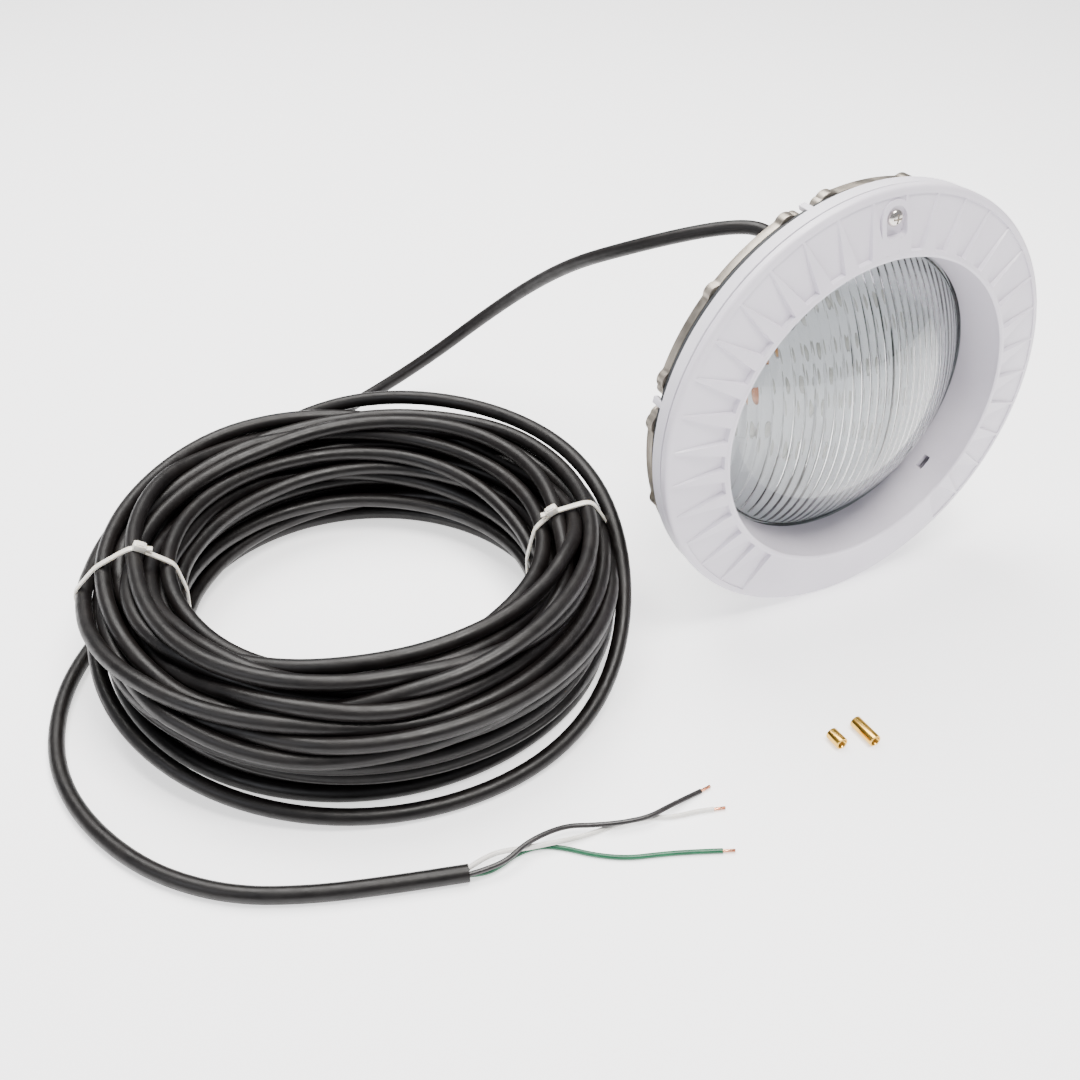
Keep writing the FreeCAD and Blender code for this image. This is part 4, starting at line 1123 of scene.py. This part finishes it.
def drop(radius, run, corner):
    """A round top with straight sides that run towards the lip and end in two small round corners."""
    inset = radius - corner
    return (circle(radius, PILOT_Z, 0, 180, 25) + circle(corner, PILOT_Z - run, 180, 270, 7, -inset)
            + circle(corner, PILOT_Z - run, 270, 360, 7, inset))


apron = prism(drop(10.0, 15.2, 3.0), BOSS_BACK, lambda x, z: face_y(math.hypot(x, z)) + 0.02)
face_ring = cut(face_ring, [apron], "UNION")
shapes = [prism(drop(7.0, 7.0, 3.0), -40.0, RECESS_FLOOR), prism(circle(2.4, PILOT_Z), -22.0, -10.0)]
window = block((0, -8.9, WALL_FOOT[0] + 2.0), (9.0, 4.4, 16.0), 0.5)
shapes.append(clocked(window, 132.0))
face_ring = cut(face_ring, shapes)
stands_for(face_ring, "light", "white_abs", "face_ring")
print("face ring:", len(face_ring.data.polygons), "faces")

# %% [markdown]
# ## The carrier ring
# Behind the face ring a second white moulding holds the lens down. Its outer band shows as a line round
# the rim, six hooks reach through the gaps of the clamp band, and a tab at the bottom hangs the light in
# its niche.

# %% Carrier ring
CLAMP_CIRCLE = 125.3
CLAMP_FIRST = 12.0
CLAMP_PITCH = 60.0
CLAMP_STEP = 24.0
clamp_angles = [CLAMP_FIRST + CLAMP_PITCH * k + CLAMP_STEP * j for k in range(6) for j in (-1, 0, 1)]
carrier_outline = softened([
    (101.6, -5.7), (131.5, -5.7), (131.5, -12.6), (134.5, -12.6), (134.5, -4.6), (132.6, -2.4), (131.4, -2.4),
    (131.0, -2.7), (104.6, -2.7), (104.6, 2.6), (101.6, 2.6)], 0.45, 3)
carrier = piece("carrier_moulding", [lathe(carrier_outline, 180)], carrier_abs)
hook = block((0, 2.4, 129.1), (4.4, 12.6, 3.2), 0.6)
hooks = [clocked(hook, CLAMP_FIRST + CLAMP_PITCH * (k + 0.5)) for k in range(6)]
tab = block((0, 2.6, -131.75), (22.0, 14.0, 3.4), 1.0)
carrier = cut(carrier, hooks + [tab], "UNION")
stands_for(carrier, "light", "carrier_abs", "carrier_ring")
print("carrier ring:", len(carrier.data.polygons), "faces")

# %% [markdown]
# ## The clamp band and its screws
# Six pressed steel segments squeeze housing, gasket and carrier together. Each has rounded ends, a rim
# turned back along its outer edge, and a round boss at each of its three screws. The segment is lofted
# from rounded sections whose width follows the ears and the ends, and the repeating tree makes six of it,
# and 18 of one screw.

# %% Clamp band


def clamp_segment():
    """One clamp segment, its middle at the top, as (points, faces)."""
    inner, outer, thick, ear, boss = 121.9, 129.5, 4.7, 4.6, 6.2
    mean, half = (inner + outer) / 2, (outer - inner) / 2
    reach = math.degrees(half / mean)
    straight = (CLAMP_PITCH - 3.4) / 2 - reach
    ends = [straight + reach * math.sin(t) for t in np.linspace(0, math.pi / 2 - 0.02, 9)]
    angles = [-a for a in ends[::-1]] + list(np.linspace(-straight, straight, 107)[1:-1]) + ends
    points = []
    for angle in angles:
        beyond = max(0.0, abs(angle) - straight) / reach
        width = half * math.sqrt(max(0.0, 1 - beyond ** 2))
        low, high = mean - width, mean + width
        for place in (-CLAMP_STEP, 0.0, CLAMP_STEP):
            off = CLAMP_CIRCLE * math.sin(math.radians(angle - place))
            if abs(off) < ear:
                low = min(low, CLAMP_CIRCLE - math.sqrt(ear ** 2 - off ** 2))
            if abs(off) < boss:
                high = max(high, CLAMP_CIRCLE + math.sqrt(boss ** 2 - off ** 2))
        turn = math.radians(angle)
        rim = 1.1 if beyond == 0.0 else 1.1 * (1 - beyond)
        section = softened([(low, 0.0), (max(low + 0.1, high - 1.7), 0.0), (max(low + 0.1, high - 1.7), 2.6),
                            (high + rim, 2.6), (high + rim, 8.6), (high + rim - 1.5, 8.6),
                            (high + rim - 1.9, thick), (low - 0.3, thick)], 0.5, 3)
        points += [(r * math.sin(turn), y, r * math.cos(turn)) for r, y in section]
    ring = len(section)
    faces = tube(len(angles), ring)
    faces += [tuple(range(ring)), tuple(range(len(points) - ring, len(points)))]
    return points, faces


band = repeated("clamp_band", [clamp_segment()], clamp_steel, 6, CLAMP_FIRST, CLAMP_PITCH)
relief_shape = prism(circle(5.2, PILOT_Z), -1.0, 12.0)
band = cut(band, [relief_shape])
stands_for(band, "light", "clamp_steel", *["clamp_segment_%d" % k for k in range(1, 7)])
print("clamp band:", len(band.data.polygons), "faces")

# The flat ring is the real flange gasket. Its dark lip stands out to the clamp band's rim and fills the gap
# between carrier and band: a dark sheet that is painted shade for that gap.
gasket_and_shade_lip_outline = softened([
    (114.5, -2.7), (130.6, -2.7), (130.6, 2.2), (128.4, 2.2), (128.4, -1.5), (114.5, -1.5)], 0.4, 3)
gasket = piece("flange_gasket_with_shade_lip", [lathe(gasket_and_shade_lip_outline, 180)], seal_rubber)
bolt_hole = prism(circle(2.2, CLAMP_CIRCLE, steps=24), -4.0, 1.0)
bolt_holes = [clocked(bolt_hole, angle) for angle in clamp_angles]
notch = block((0, 1.0, 129.1), (5.4, 9.0, 5.0), 0.4)
notches = [clocked(notch, CLAMP_FIRST + CLAMP_PITCH * (k + 0.5)) for k in range(6)]
gasket = cut(gasket, bolt_holes + notches)
stands_for(gasket, "light", "seal_rubber", "flange_gasket")
print("flange gasket:", len(gasket.data.polygons), "faces")

# %% Cross-recess screws


def cross_screw(head, height, stem, material):
    """A pan head screw along Y, its head's underside at y = 0, its top towards -Y; the stem is an outline."""
    dome = bowed((0.0, -height), (0.62 * head, -0.86 * height), (head, -0.42 * height), 7)
    outline = dome + [(head, -0.08 * height), (0.96 * head, 0.0)] + stem
    blank = piece("blank", [lathe(outline, 40, False)], material)
    wide, thin, deep = 1.16 * head, 0.24 * head, 0.55 * height
    arms = [block((0, -height + deep / 2 - 0.6, 0), (wide, deep + 1.2, thin), 0.05),
            block((0, -height + deep / 2 - 0.6, 0), (thin, deep + 1.2, wide), 0.05)]
    return shape_of(cut(blank, arms, crease_deg=30.0))


def thread(radius, start, stop, pitch, depth=0.35):
    """A screw thread's outline as rings of crests and roots."""
    count = int((stop - start) / pitch)
    return [(radius - (depth if k % 2 else 0.0), start + k * pitch / 2) for k in range(2 * count + 1)]


clamp_stem = [(1.9, 0.0)] + thread(1.9, 5.0, 10.0, 1.0) + [(1.2, 10.6), (0.0, 10.6)]
clamp_screw = cross_screw(3.6, 2.4, clamp_stem, screw_steel)
head_back = Matrix.Translation((0, 4.7, CLAMP_CIRCLE)) @ Matrix.Rotation(math.pi, 4, "X")
clamp_screws = repeated("clamp_screw_set", [placed(clamp_screw, head_back)], screw_steel, 18,
                        CLAMP_FIRST - CLAMP_STEP, CLAMP_PITCH, 3, CLAMP_STEP)
stands_for(clamp_screws, "light", "screw_steel", "clamp_screws")

pilot_stem = [(2.0, 0.0), (2.0, 20.0)] + thread(2.4, 20.2, 35.2, 1.058) + [(1.7, 36.2), (0.0, 36.2)]
pilot_shape = cross_screw(4.7, 3.4, pilot_stem, screw_steel)
pilot_seat = Matrix.Translation((0, RECESS_FLOOR, PILOT_Z))
pilot = piece("pilot_screw_turned", [placed(pilot_shape, pilot_seat)], screw_steel, 30.0)
stands_for(pilot, "pilot_screw", "screw_steel", "pilot_screw")
washer_outline = softened([(2.08, -9.4), (4.6, -9.4), (4.6, -8.2), (2.08, -8.2)], 0.3, 3)
washer = piece("pilot_washer_moulded", [lathe(washer_outline, 48, True, (0.0, PILOT_Z))], retainer_plastic)
stands_for(washer, "pilot_retainer", "retainer_plastic", "pilot_washer")
print("screws:", len(clamp_screws.data.polygons), "and", len(pilot.data.polygons), "faces")

# %% [markdown]
# ## The lens
# The lens is a dome of clear polycarbonate, smooth outside so that it stays clean, with upright flutes
# inside that spread the light sideways. Where two flutes meet there is a crisp valley, which the eye sees
# as a thin bright line. Both faces are grids whose columns stand exactly on the valleys.

# %% Lens
FLUTE_PITCH = 5.5
FLUTE_DEPTH = 0.8
LENS_SPHERE = 126.5
LENS_WALL = 3.2


def lens_shape():
    """The whole lens with its flange, as (points, faces)."""
    lens_low, lens_high = box_mm("lens")
    centre_y = lens_low[1] + LENS_SPHERE
    front, back, flange = lens_high[1] - 4.0, lens_high[1], lens_high[0]
    edge = math.sqrt(LENS_SPHERE ** 2 - (centre_y - front) ** 2)
    hind = edge - 1.2
    step = FLUTE_PITCH / 8
    inside = int(0.955 * edge / step)
    columns = [step * k / edge for k in range(-inside, inside + 1)]
    ends = list(np.sin(np.linspace(math.asin(columns[-1]), math.pi / 2, 10)[1:-1]))
    columns = [-c for c in ends[::-1]] + columns + ends
    levels = np.sin(np.linspace(-math.pi / 2, math.pi / 2, 31))
    points, faces = [], []

    def grid(radius, hindmost):
        start = len(points)
        for c in columns:
            x = c * radius
            tall = math.sqrt(radius ** 2 - x ** 2)
            for level in levels:
                z = level * tall
                y = centre_y - math.sqrt(LENS_SPHERE ** 2 - x ** 2 - z ** 2)
                if hindmost:
                    place = (x / FLUTE_PITCH + 0.5) % 1.0 - 0.5
                    fade = min(1.0, (radius - math.hypot(x, z)) / 1.5)
                    y += LENS_WALL + FLUTE_DEPTH * (1 - 4 * place ** 2) * fade
                points.append((x, y, z))
        tall = len(levels)
        for i in range(len(columns) - 1):
            for k in range(tall - 1):
                a = start + i * tall + k
                faces.append((a, a + 1, a + tall + 1, a + tall))
        last = (len(columns) - 1) * tall
        rim = [start + i * tall for i in range(len(columns))]
        rim += [start + last + k for k in range(1, tall)]
        rim += [start + i * tall + tall - 1 for i in range(len(columns) - 2, -1, -1)]
        rim += [start + k for k in range(tall - 2, 0, -1)]
        return rim

    loops = [grid(edge, False)]
    hind_loop = grid(hind, True)
    for radius, y in ((flange - 0.4, front), (flange, front + 0.4), (flange, back - 0.4), (flange - 0.4, back),
                      (edge + 1.5, back)):
        start = len(points)
        for k in loops[0]:
            x, _, z = points[k]
            scale = radius / math.hypot(x, z)
            points.append((x * scale, y, z * scale))
        loops.append(list(range(start, start + len(loops[0]))))
    loops.append(hind_loop)
    for first, second in zip(loops, loops[1:]):
        count = len(first)
        faces += [(first[k], first[(k + 1) % count], second[(k + 1) % count], second[k]) for k in range(count)]
    return points, faces


lens = piece("lens_dome", [lens_shape()], lens_clear, 30.0)
stands_for(lens, "light", "clear_lens", "lens")
print("lens:", len(lens.data.polygons), "faces")

# %% [markdown]
# ## Housing and gland
# The bowl behind the lens is a dark glass-filled moulding. Seen from behind it shows its spigot, its
# stepped shoulder and the plated gland. Hexagons are turned like everything else, with each radius held
# inside the flats, which gives their chamfers the curved edge that real nuts have.

# %% Housing and gland
housing_outline = softened([
    (127.0, -1.5), (127.0, 0.0), (112.0, 0.0), (112.0, 12.0), (105.7, 18.8), (103.5, 22.0), (88.0, 46.0),
    (79.5, 56.4), (75.0, 60.0)], 1.2, 4, False)[:-1]
housing_outline += softened([(79.5, 56.4), (75.0, 60.0), (40.0, 60.0)], 1.6, 4, False)[1:]
housing_outline += [(39.5, 59.5), (38.0, 59.5), (37.5, 60.0), (0.0, 60.0), (0.0, 57.0)]
housing_outline += softened([(0.0, 57.0), (72.0, 57.0), (85.0, 44.5), (96.5, 11.6), (96.5, 8.6), (109.0, 8.6),
                             (109.0, -1.5), (127.0, -1.5)], 0.5, 2, False)[1:-1]
housing = piece("housing_bowl", [lathe(housing_outline, 160)], dark_housing)
gland_low, gland_high = box_mm("gland_nut")
gland_x, gland_z = (gland_low + gland_high)[[0, 2]] / 2
housing = cut(housing, [prism(circle(9.0, gland_z, x=gland_x), 50.0, 65.0)])
stands_for(housing, "light", "dark_housing", "housing")


def hexed(shape, apothem, x, z):
    """A turned shape round (x, z) with its radii held inside the flats of a hexagon."""
    points, faces = shape
    out = []
    for px, py, pz in points:
        radius, turn = math.hypot(px - x, pz - z), math.atan2(pz - z, px - x)
        side = (turn + math.pi / 6) % (math.pi / 3) - math.pi / 6
        held = min(radius, apothem / math.cos(side)) / max(radius, 1e-6)
        out.append((x + (px - x) * held, py, z + (pz - z) * held))
    return out, faces


axis = (gland_x, gland_z)
nut_outline = [(9.0, 67.55), (11.2, 67.55), (12.6, 68.5), (12.6, 75.7), (11.3, 76.65), (10.75, 76.65)]
nut_outline += bowed((10.75, 76.65), (9.2, 78.9), (6.85, 80.55), 6)[1:]
nut_outline += [(5.2, 80.55), (4.9, 80.2), (4.9, 77.5), (9.0, 76.2)]
nut = piece("gland_cap_nut", [hexed(lathe(nut_outline, 96, True, axis), 10.83, *axis)], gland_brass)
stands_for(nut, "light", "gland_brass", "gland_nut")
body_outline = [(4.95, 50.0), (9.0, 50.0), (9.0, 61.0), (10.8, 61.0), (12.1, 61.8), (12.1, 64.2), (10.8, 65.0),
                (9.0, 65.0), (9.0, 67.6), (9.0, 76.0), (7.4, 76.0), (7.4, 67.0), (4.95, 67.0)]
body = piece("gland_turned_body", [hexed(lathe(body_outline, 96, True, axis), 10.39, *axis)], gland_brass)
stands_for(body, "light", "gland_brass", "gland_body")
print("housing:", len(housing.data.polygons), "faces; gland at x %.0f, z %.0f" % axis)

# %% [markdown]
# ## Finishes for the parts that stay as they are
# Seals, boards and the parts behind the reflector already have the right shape. They only get their
# finish.

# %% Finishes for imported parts
kept_finish = {
    "lens_gasket": lens_silicone, "gland_seal": seal_rubber, "gland_oring": seal_rubber,
    "reflector": reflector_white, "led_board": board_green, "led_emitters": phosphor, "led_optics": optic_clear,
    "heat_sink": heat_aluminium, "board_screws": screw_steel, "driver_board": driver_green,
    "driver_standoffs": brass, "driver_capacitors": capacitor_skin, "driver_transformer": transformer_tape,
    "terminal_block": terminal_plastic, "gland_locknut": gland_brass,
}
for node, material in kept_finish.items():
    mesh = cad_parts[node].data
    mesh.materials.clear()
    mesh.materials.append(material)
print("packed parts with a new finish:", len(kept_finish))

# %% [markdown]
# ## Sizes
# The last lines print the finished model's box beside the imported model's.

# %% Finish
new_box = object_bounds()
for label, (low, high) in (("packed", cad_box), ("finished", new_box)):
    print(label, [round(c, 4) for c in low], [round(c, 4) for c in high])
